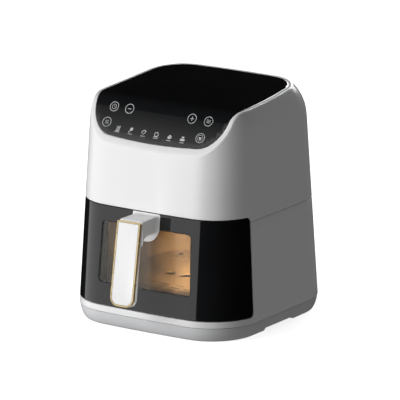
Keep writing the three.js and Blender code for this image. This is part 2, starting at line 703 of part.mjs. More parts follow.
// A flat piece parallel to the control slope, between two depths below it.
function slopeSlab(half, start, finish, shallow, deep) {
  const along = [Math.cos(SLOPE_ANGLE), Math.sin(SLOPE_ANGLE)];
  const inward = [Math.sin(SLOPE_ANGLE), -Math.cos(SLOPE_ANGLE)];
  const place = (u, depth) => new THREE.Vector2(
    SLOPE_FOOT[0] + along[0] * u + inward[0] * depth,
    SLOPE_FOOT[1] + along[1] * u + inward[1] * depth,
  );
  const points = [place(start, deep), place(finish, deep), place(finish, shallow), place(start, shallow)];
  return sweep("x", points, -half, half);
}

function displayGuide() {
  const shallow = PANEL + 2 * FIT;
  const body = slopeSlab(78, 27, 52, shallow, shallow + 3.4);
  const lights = [-55, -33, -11, 11, 33, 55].map((x) => {
    const light = slopeSlab(6, 33, 45, shallow - 2, shallow + 6);
    return light.translate([x, 0, 0]);
  });
  return cut(body, lights);
}

function touchBoard() {
  const shallow = PANEL + LEDGE + 4 * FIT;
  const board = slopeSlab(84, 20, 54, shallow, shallow + 1.6);
  const chip = slopeSlab(8, 30, 42, shallow + 1, shallow + 3.6);
  const socket = slopeSlab(5, 26, 34, shallow + 1, shallow + 7).translate([52, 0, 0]);
  return joined([board, chip, socket]);
}

function reedSensor() {
  const [x0, x1, y0, y1] = MAGNET;
  return block(x0 - 3, x1 + 3, y0 - 2, y1 + 2, CAVITY_TOP + FIT, CAVITY_TOP + FIT + 5);
}

// ---------------------------------------------------------------- drawer
function drawerWrap(grow) {
  const points = rectangle(
    -HALF_DEPTH - 60, DRAWER_EDGE + grow, BAND_TOP + SEAM / 2, DRAWER_TOP, [0, DRAWER_CORNER, DRAWER_CORNER, 0],
  );
  return sweep("x", points, -HALF_WIDTH - 20, HALF_WIDTH + 20);
}

function handleScrewHoles(radius) {
  const y = frontWall(HANDLE_SCREW_Z);
  return [-1, 1].map((side) =>
    sweep("y", circle(side * HANDLE_SCREW_X, HANDLE_SCREW_Z, radius, 12), y - 12, y + 12));
}

function drawerFront() {
  const levels = [BAND_TOP - 2, DRAWER_TOP + 2];
  const skin = casing(0, levels).subtract(casing(DRAWER_WALL, [BAND_TOP - 3, DRAWER_TOP + 3]));
  const glass = sweep("y", windowOutline(0), -HALF_DEPTH - 9, -60);
  return cut(skin.intersect(drawerWrap(0)), [glass, ...handleScrewHoles(2.4)]);
}

function outerPane() {
  const levels = [BAND_TOP - 2, DRAWER_TOP + 2];
  const skin = casing(0.15, levels).subtract(casing(DRAWER_WALL - 0.1, [BAND_TOP - 3, DRAWER_TOP + 3]));
  return skin.intersect(sweep("y", windowOutline(-FIT), -HALF_DEPTH - 9, -60));
}

// Black frame behind the drawer front: a tunnel round the window, a plate and a rim for the basket.
function drawerFrame() {
  const low = BAND_TOP + SEAM / 2 + 1;
  const high = DRAWER_TOP - 0.9;
  const inside = casing(DRAWER_WALL + FIT, [low, high]);
  const rimEnd = DRAWER_EDGE - 3.5;
  const across = HALF_WIDTH + 9;
  const rimZone = block(-across, across, SIGHT_Y, rimEnd, low - 1, high + 1);
  const rimSpace = casing(DRAWER_WALL + FIT + 2.5, [low + 2.2, high - 2.2]);
  const rim = inside.intersect(rimZone).subtract(rimSpace.intersect(block(
    -across, across, SIGHT_Y + FRAME_PLATE, rimEnd + 5, low, high,
  )));
  const hole = SEAL_WIDTH + PANE_MARGIN;
  const tunnel = sweep("y", windowOutline(hole + 2), -HALF_DEPTH - 9, SIGHT_Y + 1).intersect(inside);
  const sight = sweep("y", windowOutline(hole), -HALF_DEPTH - 9, -60);
  const magnet = block(...MAGNET.map((value, i) => value + (i % 2 ? FIT : -FIT)));
  return cut(rim.add(tunnel), [sight, magnet, ...handleScrewHoles(5.2)]);
}

const MAGNET_Y = SIGHT_Y + 19;
const MAGNET = [-88, -76, MAGNET_Y, MAGNET_Y + 4, DRAWER_TOP - 3.4, DRAWER_TOP - 1.6];

function drawerMagnet() {
  return block(...MAGNET);
}

function paneSeal() {
  const outer = sweep("y", windowOutline(SEAL_WIDTH + PANE_MARGIN - FIT), SIGHT_Y, SIGHT_Y + FRAME_PLATE);
  const inner = sweep("y", windowOutline(PANE_MARGIN + FIT), SIGHT_Y - 9, SIGHT_Y + 9);
  return outer.subtract(inner);
}

function innerPane() {
  return sweep("y", windowOutline(PANE_MARGIN), SIGHT_Y, SIGHT_Y + FRAME_PLATE);
}

function basketRing(z, inset) {
  const points = rectangle(
    -BASKET_HALF + inset, BASKET_HALF - inset, BASKET_FRONT + inset, BASKET_BACK - inset,
    CAVITY_CORNER - inset,
  );
  return { z, points };
}

const SLOT_ROWS = 5;
const SLOT_PITCH = 7;

function basketBody() {
  const skirt = [[0, 10], [4, 4.5], [11, 1.2]];
  const shape = (wall) => loft([
    ...skirt.map(([rise, inset]) => basketRing(BASKET_FLOOR + rise + wall, inset + wall)),
    basketRing(BASKET_TOP + (wall ? 1 : 0), wall),
  ]);
  const sight = sweep("y", windowOutline(PANE_MARGIN + 1), BASKET_FRONT - 5, BASKET_FRONT + 25);
  const slots = [];
  for (let row = 0; row < SLOT_ROWS; row += 1) {
    const z = PLATE_Z + 18 + row * SLOT_PITCH;
    [-39, -13, 13, 39].forEach((x) => {
      slots.push(block(x - 10, x + 10, BASKET_BACK - 9, BASKET_BACK + 5, z, z + 2.6));
    });
  }
  return cut(shape(0), [shape(BASKET_WALL), sight, ...slots]);
}

const PLATE_CLEAR = 2;
const HOLE_RADIUS = 7;
const HOLE_OFFSET = 9.5; // row of round holes, in front of the plate's middle
const FRONT_SLOT_ROWS = 4;
const FRONT_SLOT_START = 57;
const FRONT_SLOT_PITCH = 11;
const REAR_SLOT_ROWS = 6;
const REAR_SLOT_START = 43;
const REAR_SLOT_PITCH = 8.2;

function plateOutline(extra) {
  const inset = BASKET_WALL + PLATE_CLEAR + extra;
  return basketRing(0, inset).points;
}

function crisperPlate() {
  const plate = sweep("z", plateOutline(0), PLATE_Z, PLATE_Z + PLATE_SHEET);
  const middle = (BASKET_FRONT + BASKET_BACK) / 2;
  const through = [PLATE_Z - 5, PLATE_Z + 5];
  const slot = (x, y, long, wide) => block(x - long / 2, x + long / 2, y - wide / 2, y + wide / 2, ...through);
  const holes = [-35, -11.5, 11.5, 35].map((x) => disc(x, middle - HOLE_OFFSET, HOLE_RADIUS, ...through, 12));
  for (let row = 0; row < FRONT_SLOT_ROWS; row += 1) {
    const y = middle - FRONT_SLOT_START - row * FRONT_SLOT_PITCH;
    [-32.5, -11, 11, 32.5].forEach((x) => holes.push(slot(x, y, 15, 3.2)));
  }
  for (let row = 0; row < REAR_SLOT_ROWS; row += 1) {
    const y = middle + REAR_SLOT_START + row * REAR_SLOT_PITCH;
    const beside = Math.abs(y - (BASKET_BACK - BUMPER_IN)) < 7 ? [] : [-69, 69];
    [-42, -14, 14, 42, ...beside].forEach((x) => holes.push(slot(x, y, 20, 2.6)));
  }
  const bumpers = BUMPER_PLACES.map(([x, y]) => disc(x, y, 3, ...through, 10));
  return cut(plate, [...holes, ...bumpers]);
}

const BUMPER_IN = 30;
const BUMPER_PLACES = [-1, 1].flatMap((side) => [
  [side * (BASKET_HALF - BUMPER_IN), BASKET_FRONT + BUMPER_IN],
  [side * (BASKET_HALF - BUMPER_IN), BASKET_BACK - BUMPER_IN],
]);

function plateBumper(x, y) {
  const foot0 = BASKET_FLOOR + BASKET_WALL + FIT;
  const stem = disc(x, y, 2.7, PLATE_Z - 2, PLATE_Z + PLATE_SHEET + 1.2, 10);
  return disc(x, y, 5.5, foot0, PLATE_Z - FIT, 12).add(stem);
}

// ---------------------------------------------------------------- handle
const GRIP_ALONG = [-Math.sin(GRIP_LEAN), -Math.cos(GRIP_LEAN)];
const GRIP_INTO = [Math.cos(GRIP_LEAN), -Math.sin(GRIP_LEAN)];

// Front view outline of the grip, as (x, distance down from its top edge).
function gripOutline(inset) {
  const half = GRIP_WIDTH / 2 - inset;
  const top = Math.max(0.6, 2.5 - inset);
  const low = 12 - inset;
  const foot = GRIP_LENGTH - inset;
  return rounded([[-half, inset], [half, inset], [half, foot], [-half, foot]], [top, top, low, low]);
}

// Sweeps a front view outline into the grip, from one depth behind its face to another.
function gripSweep(points, from, to) {
  const geometry = new THREE.ExtrudeGeometry(new THREE.Shape(points), {
    depth: to - from,
    bevelEnabled: false,
  });
  geometry.translate(0, 0, from);
  geometry.applyMatrix4(new THREE.Matrix4().makeBasis(
    new THREE.Vector3(1, 0, 0),
    new THREE.Vector3(0, ...GRIP_ALONG),
    new THREE.Vector3(0, ...GRIP_INTO),
  ));
  geometry.translate(0, ...GRIP_TOP);
  return solid(geometry);
}

const gripPoint = (down, depth) => [
  GRIP_TOP[0] + GRIP_ALONG[0] * down + GRIP_INTO[0] * depth,
  GRIP_TOP[1] + GRIP_ALONG[1] * down + GRIP_INTO[1] * depth,
];

function handleFace() {
  return gripSweep(gripOutline(TRIM + FIT), 0, FACE);
}

const TRIM_DEPTH = 4.2;

function handleTrim() {
  return gripSweep(gripOutline(0), 0, TRIM_DEPTH).subtract(gripSweep(gripOutline(TRIM), -5, TRIM_DEPTH + 5));
}

// Grip back, arm and wall pad, moulded as one white piece.
function handleArm() {
  const back = gripSweep(gripOutline(0), TRIM_DEPTH + FIT, GRIP_THICK_FOOT);
  const core = gripSweep(gripOutline(TRIM + FIT), FACE + FIT, TRIM_DEPTH + 2);
  const thinning = [
    gripPoint(-9, 0), gripPoint(-9, GRIP_THICK_TOP), gripPoint(GRIP_LENGTH * 0.55, GRIP_THICK_TOP),
    gripPoint(GRIP_LENGTH + 9, GRIP_THICK_FOOT), gripPoint(GRIP_LENGTH + 9, 0),
  ].map(([y, z]) => new THREE.Vector2(y, z));
  const slimmed = back.add(core).intersect(sweep("x", thinning.reverse(), -60, 60));
  const wall = frontWall(DRAWER_TOP);
  const [gripY] = gripPoint(0, TRIM_DEPTH + 2);
  const lower = ARM_TOP - ARM_HEIGHT;
  const underside = rounded(
    [[gripY, ARM_TOP], [gripY, lower - 14], [gripY + 4, lower - 14], [gripY + 7, lower], [wall - 9, lower],
      [wall - 9 + 4, PAD_LOW + 2], [wall + 20, PAD_LOW + 2], [wall + 20, ARM_TOP]],
    [0, 0, 0, 9, 8, 0, 0, 0],
  );
  const arm = sweep("x", underside, -ARM_WIDTH / 2, ARM_WIDTH / 2);
  const padTop = DRAWER_TOP;
  const pad = sweep("y", rounded(
    [[-PAD_HALF, padTop], [-PAD_HALF, PAD_LOW], [PAD_HALF, PAD_LOW], [PAD_HALF, padTop]],
    [0, PAD_HALF - 0.5, PAD_HALF - 0.5, 0],
  ), frontWall(PAD_LOW) - 3.5, wall + 20);
  const clear = casing(-FIT, [BAND_TOP - 5, DRAWER_TOP + 9]);
  const padArea = sweep("y", rounded(
    [[-PAD_HALF, padTop + 9], [-PAD_HALF, PAD_LOW], [PAD_HALF, PAD_LOW], [PAD_HALF, padTop + 9]],
    [0, PAD_HALF - 0.5, PAD_HALF - 0.5, 0],
  ), -HALF_DEPTH - 70, wall + 30);
  const slanted = arm.intersect(padArea.add(block(-60, 60, -HALF_DEPTH - 70, wall - 12, 0, 200)));
  return cut(joined([slimmed, slanted, pad]), [clear, ...handleScrewHoles(2.4)]);
}

function handleScrew(side) {
  const y = frontWall(HANDLE_SCREW_Z);
  const place = [side * HANDLE_SCREW_X, HANDLE_SCREW_Z];
  const seat = y + DRAWER_WALL + FIT + 0.5;
  const shank = sweep("y", circle(...place, 2, 12), y - 10, seat + 1);
  return shank.add(sweep("y", circle(...place, 4.2, 12), seat, seat + 2.2));
}

// ---------------------------------------------------------------- materials
const paint = (color, roughness, metalness = 0) => new THREE.MeshStandardMaterial({ color, roughness, metalness });
const WHITE = paint(0xf2f2f3, 0.25);
const BLACK = paint(0x101214, 0.08);
const GREY = paint(0xb8b9bb, 0.4);
const DARK = paint(0x242527, 0.55);
const RUBBER = paint(0x3a3a3c, 0.85);
const STEEL = paint(0xc4c6c8, 0.3, 1);
const BRASS = paint(0xd8bf7c, 0.25, 1);
const NONSTICK = paint(0x5a4a3a, 0.45);
const BOARD = paint(0x1d5a36, 0.6);
const GLASS = new THREE.MeshStandardMaterial({
  color: 0xd9c9ae,
  roughness: 0.05,
  transparent: true,
  opacity: 0.35,
});

// ---------------------------------------------------------------- assembly
const assembly = new THREE.Group();

function place(name, body, material) {
  const data = body.getMesh();
  const count = data.numProp;
  const positions = new Float32Array((data.vertProperties.length / count) * 3);
  for (let i = 0; i < positions.length / 3; i += 1) {
    positions.set(data.vertProperties.subarray(i * count, i * count + 3), i * 3);
  }
  const geometry = new THREE.BufferGeometry();
  geometry.setAttribute("position", new THREE.BufferAttribute(positions, 3));
  geometry.setIndex(new THREE.BufferAttribute(data.triVerts, 1));
  geometry.computeVertexNormals();
  const mesh = new THREE.Mesh(geometry, material);
  mesh.name = name;
  assembly.add(mesh);
}

const overBasket = (body) => body.translate([0, CHAMBER_Y, 0]);
const CORNERS = ["front_left", "front_right", "rear_left", "rear_right"];

place("upper_shell", upperShell(), WHITE);
place("top_panel", topPanel(), BLACK);
place("lower_shell", lowerShell(), WHITE);
place("base_tray", baseTray(), GREY);
FOOT_PLACES.forEach(([x, y], i) => place(`foot_${CORNERS[i]}`, foot(x, y), RUBBER));
SCREW_PLACES.forEach(([x, y], i) => place(`base_screw_${CORNERS[i]}`, baseScrew(x, y), STEEL));
place("rear_grille", rearGrille(), DARK);
place("cord_gland", cordGland(), RUBBER);

place("cavity_liner", cavityLiner(), STEEL);
place("front_bezel", frontBezel(), DARK);
place("rail_left", rail(-1), STEEL);
place("rail_right", rail(1), STEEL);
place("heat_shield", overBasket(heatShield()), STEEL);
place("heating_element", overBasket(heatingElement()), STEEL);
place("element_guard", overBasket(elementGuard()), STEEL);
place("temperature_sensor", overBasket(temperatureSensor()), STEEL);
place("thermal_cutout", overBasket(thermalCutout()), DARK);
place("exhaust_duct", exhaustDuct(), STEEL);
place("lamp_housing", lampHousing(), STEEL);
place("lamp_lens", lampLens(), GLASS);
place("lamp_bulb", lampBulb(), GLASS);

place("motor_bracket", overBasket(motorBracket()), STEEL);
place("fan_motor", overBasket(fanMotor()), DARK);
place("motor_shaft", overBasket(motorShaft()), STEEL);
place("hot_air_fan", overBasket(hotAirFan()), STEEL);
place("cooling_fan", overBasket(coolingFan()), DARK);
place("fan_nut", overBasket(fanNut()), STEEL);

place("board_tray", boardTray(), DARK);
place("power_board", powerBoard(), BOARD);
place("touch_board", touchBoard(), BOARD);
place("display_guide", displayGuide(), WHITE);
place("reed_sensor", reedSensor(), DARK);

place("drawer_front", drawerFront(), BLACK);
place("outer_window", outerPane(), GLASS);
place("drawer_frame", drawerFrame(), DARK);
place("drawer_magnet", drawerMagnet(), STEEL);
place("window_seal", paneSeal(), RUBBER);
place("inner_window", innerPane(), GLASS);
place("basket", basketBody(), NONSTICK);
place("handle_arm", handleArm(), WHITE);
place("handle_trim", handleTrim(), BRASS);
place("handle_face", handleFace(), WHITE);
place("handle_screw_left", handleScrew(-1), STEEL);
place("handle_screw_right", handleScrew(1), STEEL);

place("crisper_plate", crisperPlate(), NONSTICK);
BUMPER_PLACES.forEach(([x, y], i) => place(`plate_bumper_${i + 1}`, plateBumper(x, y), RUBBER));

// The origin is under the middle of the whole object, handle included, on the table.
const bounds = new THREE.Box3().setFromObject(assembly);
assembly.position.y = -(bounds.min.y + bounds.max.y) / 2;

const airFryer = new THREE.Group();
airFryer.add(assembly);
export default airFryer;
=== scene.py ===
# %% [markdown]
# # A countertop air fryer, built round a fixed frame
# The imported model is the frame: it says where every body sits and how it moves. This script keeps
# that frame still and dresses it with finer pieces. Shapes are worked out in millimetres in the
# maker's own frame, where Y is zero at the middle of the casing, and are turned into metres in one
# place only. All skins come from one formula for the casing outline, so neighbours always meet.

# %% Load the frame
import json
import math
import bmesh
import bpy
import numpy as np
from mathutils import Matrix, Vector
from mathutils.geometry import delaunay_2d_cdt


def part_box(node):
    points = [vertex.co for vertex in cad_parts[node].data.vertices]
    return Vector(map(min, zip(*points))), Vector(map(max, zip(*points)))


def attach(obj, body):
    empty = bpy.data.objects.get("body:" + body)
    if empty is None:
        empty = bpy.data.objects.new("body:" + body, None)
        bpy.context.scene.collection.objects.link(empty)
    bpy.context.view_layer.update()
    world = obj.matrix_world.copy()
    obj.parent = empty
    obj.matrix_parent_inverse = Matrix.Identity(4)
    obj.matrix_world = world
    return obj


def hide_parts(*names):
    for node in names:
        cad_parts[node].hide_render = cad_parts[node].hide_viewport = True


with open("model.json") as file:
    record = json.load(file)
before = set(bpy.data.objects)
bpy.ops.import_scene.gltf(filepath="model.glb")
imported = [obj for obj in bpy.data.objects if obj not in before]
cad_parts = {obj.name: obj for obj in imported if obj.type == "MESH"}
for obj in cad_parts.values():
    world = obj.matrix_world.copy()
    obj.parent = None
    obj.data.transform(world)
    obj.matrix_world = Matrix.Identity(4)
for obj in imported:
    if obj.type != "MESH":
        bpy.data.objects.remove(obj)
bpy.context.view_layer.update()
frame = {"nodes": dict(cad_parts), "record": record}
base_low, base_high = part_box("base_tray")
SHIFT_Y = (base_low.y + base_high.y) / 2
scene = bpy.context.scene
print("frame:", len(frame["nodes"]), "nodes; casing middle at y =", round(SHIFT_Y, 5), "m")

# %% [markdown]
# ## Sizes
# A maker starts from a short list of driving sizes. These are the casing's, in millimetres: how wide
# and deep it is where it meets its base, how much each wall leans in as it rises, and the heights at
# which one piece ends and the next starts.

# %% Driving sizes
HALF_WIDTH, HALF_DEPTH, CORNER_RADIUS = 132.8, 134.1, 68.4
END_BULGE, SIDE_BULGE = 4.7, 2.6
SIDE_TAPER, FRONT_TAPER, BACK_TAPER, CORNER_TAPER = 0.038, 0.086, 0.095, 0.05
BASE_TOP, BAND_TOP, SHELL_SEAM, DRAWER_TOP, WALL_TOP = 20, 29, 155.2, 160.9, 240.1
SHOULDER_START, SHOULDER_RISE, SHOULDER_LEAN, SHOULDER_POWER = 258.3, 50.7, 14.6, 2.83
WALL, FIT, SEAM, RIM, PANEL = 2.6, 0.3, 0.8, 4.6, 3.0
DRAWER_EDGE, DRAWER_CORNER, DRAWER_WALL = -70.5, 5.5, 3.0
BAY_CORNER = DRAWER_CORNER + SEAM
SLOPE = math.radians(58)


def front_wall(z):
    return -(HALF_DEPTH - (z - BASE_TOP) * FRONT_TAPER)


def back_wall(z):
    return HALF_DEPTH - (z - BASE_TOP) * BACK_TAPER


print("casing:", 2 * HALF_WIDTH, "wide and", 2 * HALF_DEPTH, "deep; drawer front from", BAND_TOP, "to", DRAWER_TOP)

# %% [markdown]
# ## The casing outline
# Seen from above the casing is a soft square: four long shallow arcs joined by four round corners,
# all tangent. A quarter of it is three arcs. Side columns keep a fixed y and front columns a fixed x,
# so that straight edges such as the drawer's end stay straight all the way up. The result is a table
# of points, one row per level and one column per place round the outline.

# %% Columns round the casing
SIDE_REACH, END_REACH = 78.0, 80.0
BAY_EDGE = DRAWER_EDGE + SEAM
quarter_turn = np.radians(np.linspace(0, 90, 7))
bay_columns = [abs(BAY_EDGE) + BAY_CORNER * (1 - math.cos(t)) for t in quarter_turn]
drawer_columns = [abs(DRAWER_EDGE) + DRAWER_CORNER * (1 - math.cos(t)) for t in quarter_turn]
rounding = [0.08, 0.2, 0.45, 0.8]
extra = [abs(BAY_EDGE) - 0.02] + [abs(DRAWER_EDGE) + r for r in rounding] + [abs(BAY_EDGE) - r for r in rounding]
SIDES_FRONT = sorted(set(np.round([*np.linspace(0, 66, 12), *bay_columns, *drawer_columns, *extra, SIDE_REACH], 3)))
SIDES_REAR = list(np.linspace(0, SIDE_REACH, 14))
CORNERS = list(np.linspace(0, 1, 30)[1:-1])
ENDS = list(np.linspace(END_REACH, 0, 21))


def quarter_columns(z, inset, front, sides):
    rise = z - BASE_TOP
    lean = SHOULDER_LEAN * (max(0.0, z - SHOULDER_START) / SHOULDER_RISE) ** SHOULDER_POWER
    a = HALF_WIDTH - rise * SIDE_TAPER - lean - inset
    b = HALF_DEPTH - rise * (FRONT_TAPER if front else BACK_TAPER) - (0.4 if front else 1) * lean - inset
    radius = CORNER_RADIUS - rise * CORNER_TAPER - 0.5 * lean - inset
    side_radius = (b * b + SIDE_BULGE**2) / (2 * SIDE_BULGE)
    end_radius = (a * a + END_BULGE**2) / (2 * END_BULGE)
    side, end = np.array([a - side_radius, 0]), np.array([0, b - end_radius])
    span = np.linalg.norm(end - side)
    from_side, from_end = side_radius - radius, end_radius - radius
    along = (from_side**2 - from_end**2 + span**2) / (2 * span)
    unit = (end - side) / span
    corner = side + unit * along + np.array([-unit[1], unit[0]]) * math.sqrt(from_side**2 - along**2)
    low = math.atan2(*(corner - side)[::-1])
    high = math.atan2(*(corner - end)[::-1])
    parts = []
    arcs = [
        (side, side_radius, 0, low, 60),
        (corner, radius, low, high, 400),
        (end, end_radius, high, math.pi / 2, 60),
    ]
    for centre, r, t0, t1, n in arcs:
        t = np.linspace(t0, t1, n)
        parts.append(centre + r * np.stack([np.cos(t), np.sin(t)], 1))
    line = np.concatenate(parts)
    xs, ys = line[:, 0], line[:, 1]
    length = np.concatenate([[0], np.cumsum(np.linalg.norm(np.diff(line, axis=0), axis=1))])
    start, stop = np.interp(SIDE_REACH, ys, length), np.interp(-END_REACH, -xs, length)
    at = start + (stop - start) * np.array(CORNERS)
    return np.concatenate([
        np.stack([np.interp(sides, ys, xs), sides], 1),
        np.stack([np.interp(at, length, xs), np.interp(at, length, ys)], 1),
        np.stack([ENDS, np.interp(-np.array(ENDS), -xs, ys)], 1),
    ])


def casing_ring(z, inset):
    rear = quarter_columns(z, inset, False, SIDES_REAR)
    fore = quarter_columns(z, inset, True, SIDES_FRONT)
    return np.concatenate([
        rear[:-1], (rear * [-1, 1])[::-1][:-1], (fore * [-1, -1])[:-1], (fore * [1, -1])[::-1][:-1],
    ])


print("columns: sides", len(SIDES_FRONT), "and", len(SIDES_REAR), "; corner", len(CORNERS), "; end", len(ENDS))

# %% A table of levels, and points between them
LEVEL_LOW, LEVEL_STEP = 0.0, 1.0
LEVELS = np.arange(LEVEL_LOW, 322, LEVEL_STEP)
tables = {}


def skin(columns, heights, inset=0.0):
    """Points of the casing skin, moved in by inset. A single height or inset serves for every column."""
    for key in (0.0, 8.0):
        if key not in tables:
            tables[key] = np.array([casing_ring(z, key) for z in LEVELS])
    columns, heights = np.broadcast_arrays(np.asarray(columns), np.asarray(heights, float))
    place = (heights - LEVEL_LOW) / LEVEL_STEP
    row = np.clip(np.floor(place).astype(int), 0, len(LEVELS) - 2)
    part = (place - row)[..., None]
    c0 = np.floor(columns).astype(int)
    cf = (columns - c0)[..., None]
    count = tables[0.0].shape[1]
    share = (np.asarray(inset, float) / 8.0)[..., None] if np.ndim(inset) else inset / 8.0

    def read(table):
        a, b = c0 % count, (c0 + 1) % count
        low = table[row, a] * (1 - cf) + table[row, b] * cf
        high = table[row + 1, a] * (1 - cf) + table[row + 1, b] * cf
        return low * (1 - part) + high * part

    flat = read(tables[0.0]) * (1 - share) + read(tables[8.0]) * share
    return np.concatenate([flat, heights[..., None]], -1)


COLUMN_COUNT = len(casing_ring(BASE_TOP, 0))
ALL = np.arange(COLUMN_COUNT)
reference = casing_ring(90, 0)
IN_BAY = reference[:, 1] <= BAY_EDGE + 1e-6
print("casing columns:", COLUMN_COUNT, "of which in the drawer bay:", int(IN_BAY.sum()))

# %% [markdown]
# ## The top profile
# In side view the top is a steep control slope, a round bend and a nearly flat deck that dips
# slightly. The same profile cuts the shell and the black panel, so it is one function of y.

# %% Top profile
SLOPE_FOOT = (front_wall(WALL_TOP), WALL_TOP)
BEND = (SLOPE_FOOT[0] + 35.7, WALL_TOP + 35.7 * math.tan(SLOPE))
SAG = (3.8, BEND[1] + (3.8 - BEND[0]) * 0.05)
DECK_END = (HALF_DEPTH + 10, SAG[1] + (HALF_DEPTH + 6.2) * 0.1)
FRONT_POINT = (SLOPE_FOOT[0] - 25, WALL_TOP - 25 * math.tan(SLOPE))


def rounded(points, radii, closed=True, fine=math.radians(6)):
    """A polygon whose corners are rounded, each with its own radius."""
    made, count = [], len(points)
    for i, here in enumerate(points):
        radius = radii[i] if hasattr(radii, "__len__") else radii
        if radius <= 0 or (not closed and i in (0, count - 1)):
            made.append(tuple(here))
            continue
        here = np.array(here, float)
        before = np.array(points[i - 1]) - here
        after = np.array(points[(i + 1) % count]) - here
        before, after = before / np.linalg.norm(before), after / np.linalg.norm(after)
        half = math.acos(max(-1, min(1, before @ after))) / 2
        middle = (before + after) / np.linalg.norm(before + after)
        centre = here + middle * radius / math.sin(half)
        start = here + before * radius / math.tan(half) - centre
        finish = here + after * radius / math.tan(half) - centre
        first = math.atan2(start[1], start[0])
        sweep = (math.atan2(finish[1], finish[0]) - first + math.pi) % (2 * math.pi) - math.pi
        steps = max(2, round(abs(sweep) / fine))
        for k in range(steps + 1):
            t = first + sweep * k / steps
            made.append((centre[0] + radius * math.cos(t), centre[1] + radius * math.sin(t)))
    return made


profile = np.array(rounded([FRONT_POINT, BEND, SAG, DECK_END], [0, 26, 1500, 0], False, math.radians(1)))


def top_height(y):
    return np.interp(y, profile[:, 0], profile[:, 1])


def top_crossing(inset, drop=0.0):
    """For every column, the height where the inset skin meets the top, lowered by drop."""
    low, high = np.full(COLUMN_COUNT, 180.0), np.full(COLUMN_COUNT, 320.0)
    for _ in range(30):
        heights = (low + high) / 2
        under = heights < top_height(skin(ALL, heights, inset)[:, 1]) - drop
        low, high = np.where(under, heights, low), np.where(under, high, heights)
    return heights


crown = top_crossing(0.0)
print("casing top runs from", round(crown.min(), 1), "to", round(crown.max(), 1), "mm")

# %% [markdown]
# ## Turning points into pieces
# Three small builders make nearly every piece. A loft joins rings of equal count. A plate is a flat
# or bent sheet cut to an outline, with holes and softly rounded edges: its face is filled by a
# constrained triangulation, so that holes stay crisp. A tube follows a line. Real moulded and cut
# parts have a small radius on every edge, and those radii are what catch the light.

# %% Mesh from millimetres
MM = 0.001


def add_object(name, data):
    made = bpy.data.objects.new(name, data)
    scene.collection.objects.link(made)
    return made


def mesh_object(name, points, faces):
    """An object from points in millimetres in the maker's frame."""
    mesh = bpy.data.meshes.new(name)
    mesh.from_pydata((np.asarray(points, float) * MM + [0, SHIFT_Y, 0]).tolist(), [], faces)
    return add_object(name, mesh)


def make_piece(name, points, faces, material, body, stands_for=(), smooth=38):
    piece = mesh_object(name, points, faces)
    piece.data.validate()
    tidy_mesh(piece, smooth)
    dress(piece, material, body, stands_for)
    return piece


WELD = 2e-6


def tidy_mesh(piece, smooth=38):
    """Welds double points, turns the faces outwards and keeps edges sharper than an angle crisp."""
    work = bmesh.new()
    work.from_mesh(piece.data)
    bmesh.ops.remove_doubles(work, verts=work.verts, dist=WELD)
    bmesh.ops.dissolve_degenerate(work, edges=work.edges, dist=1e-7)
    bmesh.ops.recalc_face_normals(work, faces=work.faces)
    for face in work.faces:
        face.smooth = True
    open_edges = sum(1 for e in work.edges if not e.is_manifold)
    work.to_mesh(piece.data)
    work.free()
    piece.data.set_sharp_from_angle(angle=math.radians(smooth))
    if open_edges:
        print("  note:", piece.name, "has", open_edges, "open edges")


def dress(piece, material, body, stands_for=()):
    piece.data.materials.clear()
    piece.data.materials.append(material)
    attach(piece, body)
    if stands_for:
        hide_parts(*stands_for)
    print(f"{piece.name}: {len(piece.data.polygons)} faces, on {body}, stands for {list(stands_for)}")


print("one unit of the maker's frame is", MM, "m; the shift in y is", round(SHIFT_Y, 5), "m")


# %% Loft and tube
def loft(rings, cyclic=False):
    """Joins closed rings of equal count. Cyclic joins the last ring to the first, and else both ends close."""
    count = len(rings[0])
    points = [p for ring in rings for p in ring]
    faces = []
    for level in range(len(rings) if cyclic else len(rings) - 1):
        a0, b0 = level * count, ((level + 1) % len(rings)) * count
        for i in range(count):
            j = (i + 1) % count
            faces.append((a0 + i, a0 + j, b0 + j, b0 + i))
    if not cyclic:
        for start, ring in ((0, rings[0]), ((len(rings) - 1) * count, rings[-1])):
            points.append(tuple(np.mean(np.array(ring), 0)))
            middle = len(points) - 1
            faces += [(start + i, start + (i + 1) % count, middle) for i in range(count)]
    return points, faces


def on_axis(axis, u, v, along):
    """Flat coordinates u, v and a distance along an axis, in x, y, z order."""
    return np.stack({"z": (u, v, along), "y": (u, along, v), "x": (along, u, v)}[axis], 1)


def lathe(profile_points, centre, sides=48, axis="z"):
    rings = []
    for radius, height in profile_points:
        t = np.linspace(0, 2 * math.pi, sides, endpoint=False)
        u, v = max(radius, 1e-3) * np.cos(t), max(radius, 1e-3) * np.sin(t)
        rings.append((on_axis(axis, u, v, np.full(sides, height)) + centre).tolist())
    return rings


def tube(path, radius, sides=12):
    path = np.array(path, float)
    ahead = np.gradient(path, axis=0)
    ahead /= np.linalg.norm(ahead, axis=1)[:, None]
    side = np.cross(ahead[0], [0.3, 0.2, 0.93])
    rings = []
    for p, t in zip(path, ahead):
        side = side - t * (side @ t)
        side /= np.linalg.norm(side)
        other = np.cross(t, side)
        turn = np.linspace(0, 2 * math.pi, sides, endpoint=False)
        rings.append((p + radius * (np.cos(turn)[:, None] * side + np.sin(turn)[:, None] * other)).tolist())
    return loft(rings)


print("a six-sided lofted rod:", len(loft(lathe([(1, 0), (1, 5)], (0, 0, 0), 6))[1]), "faces")


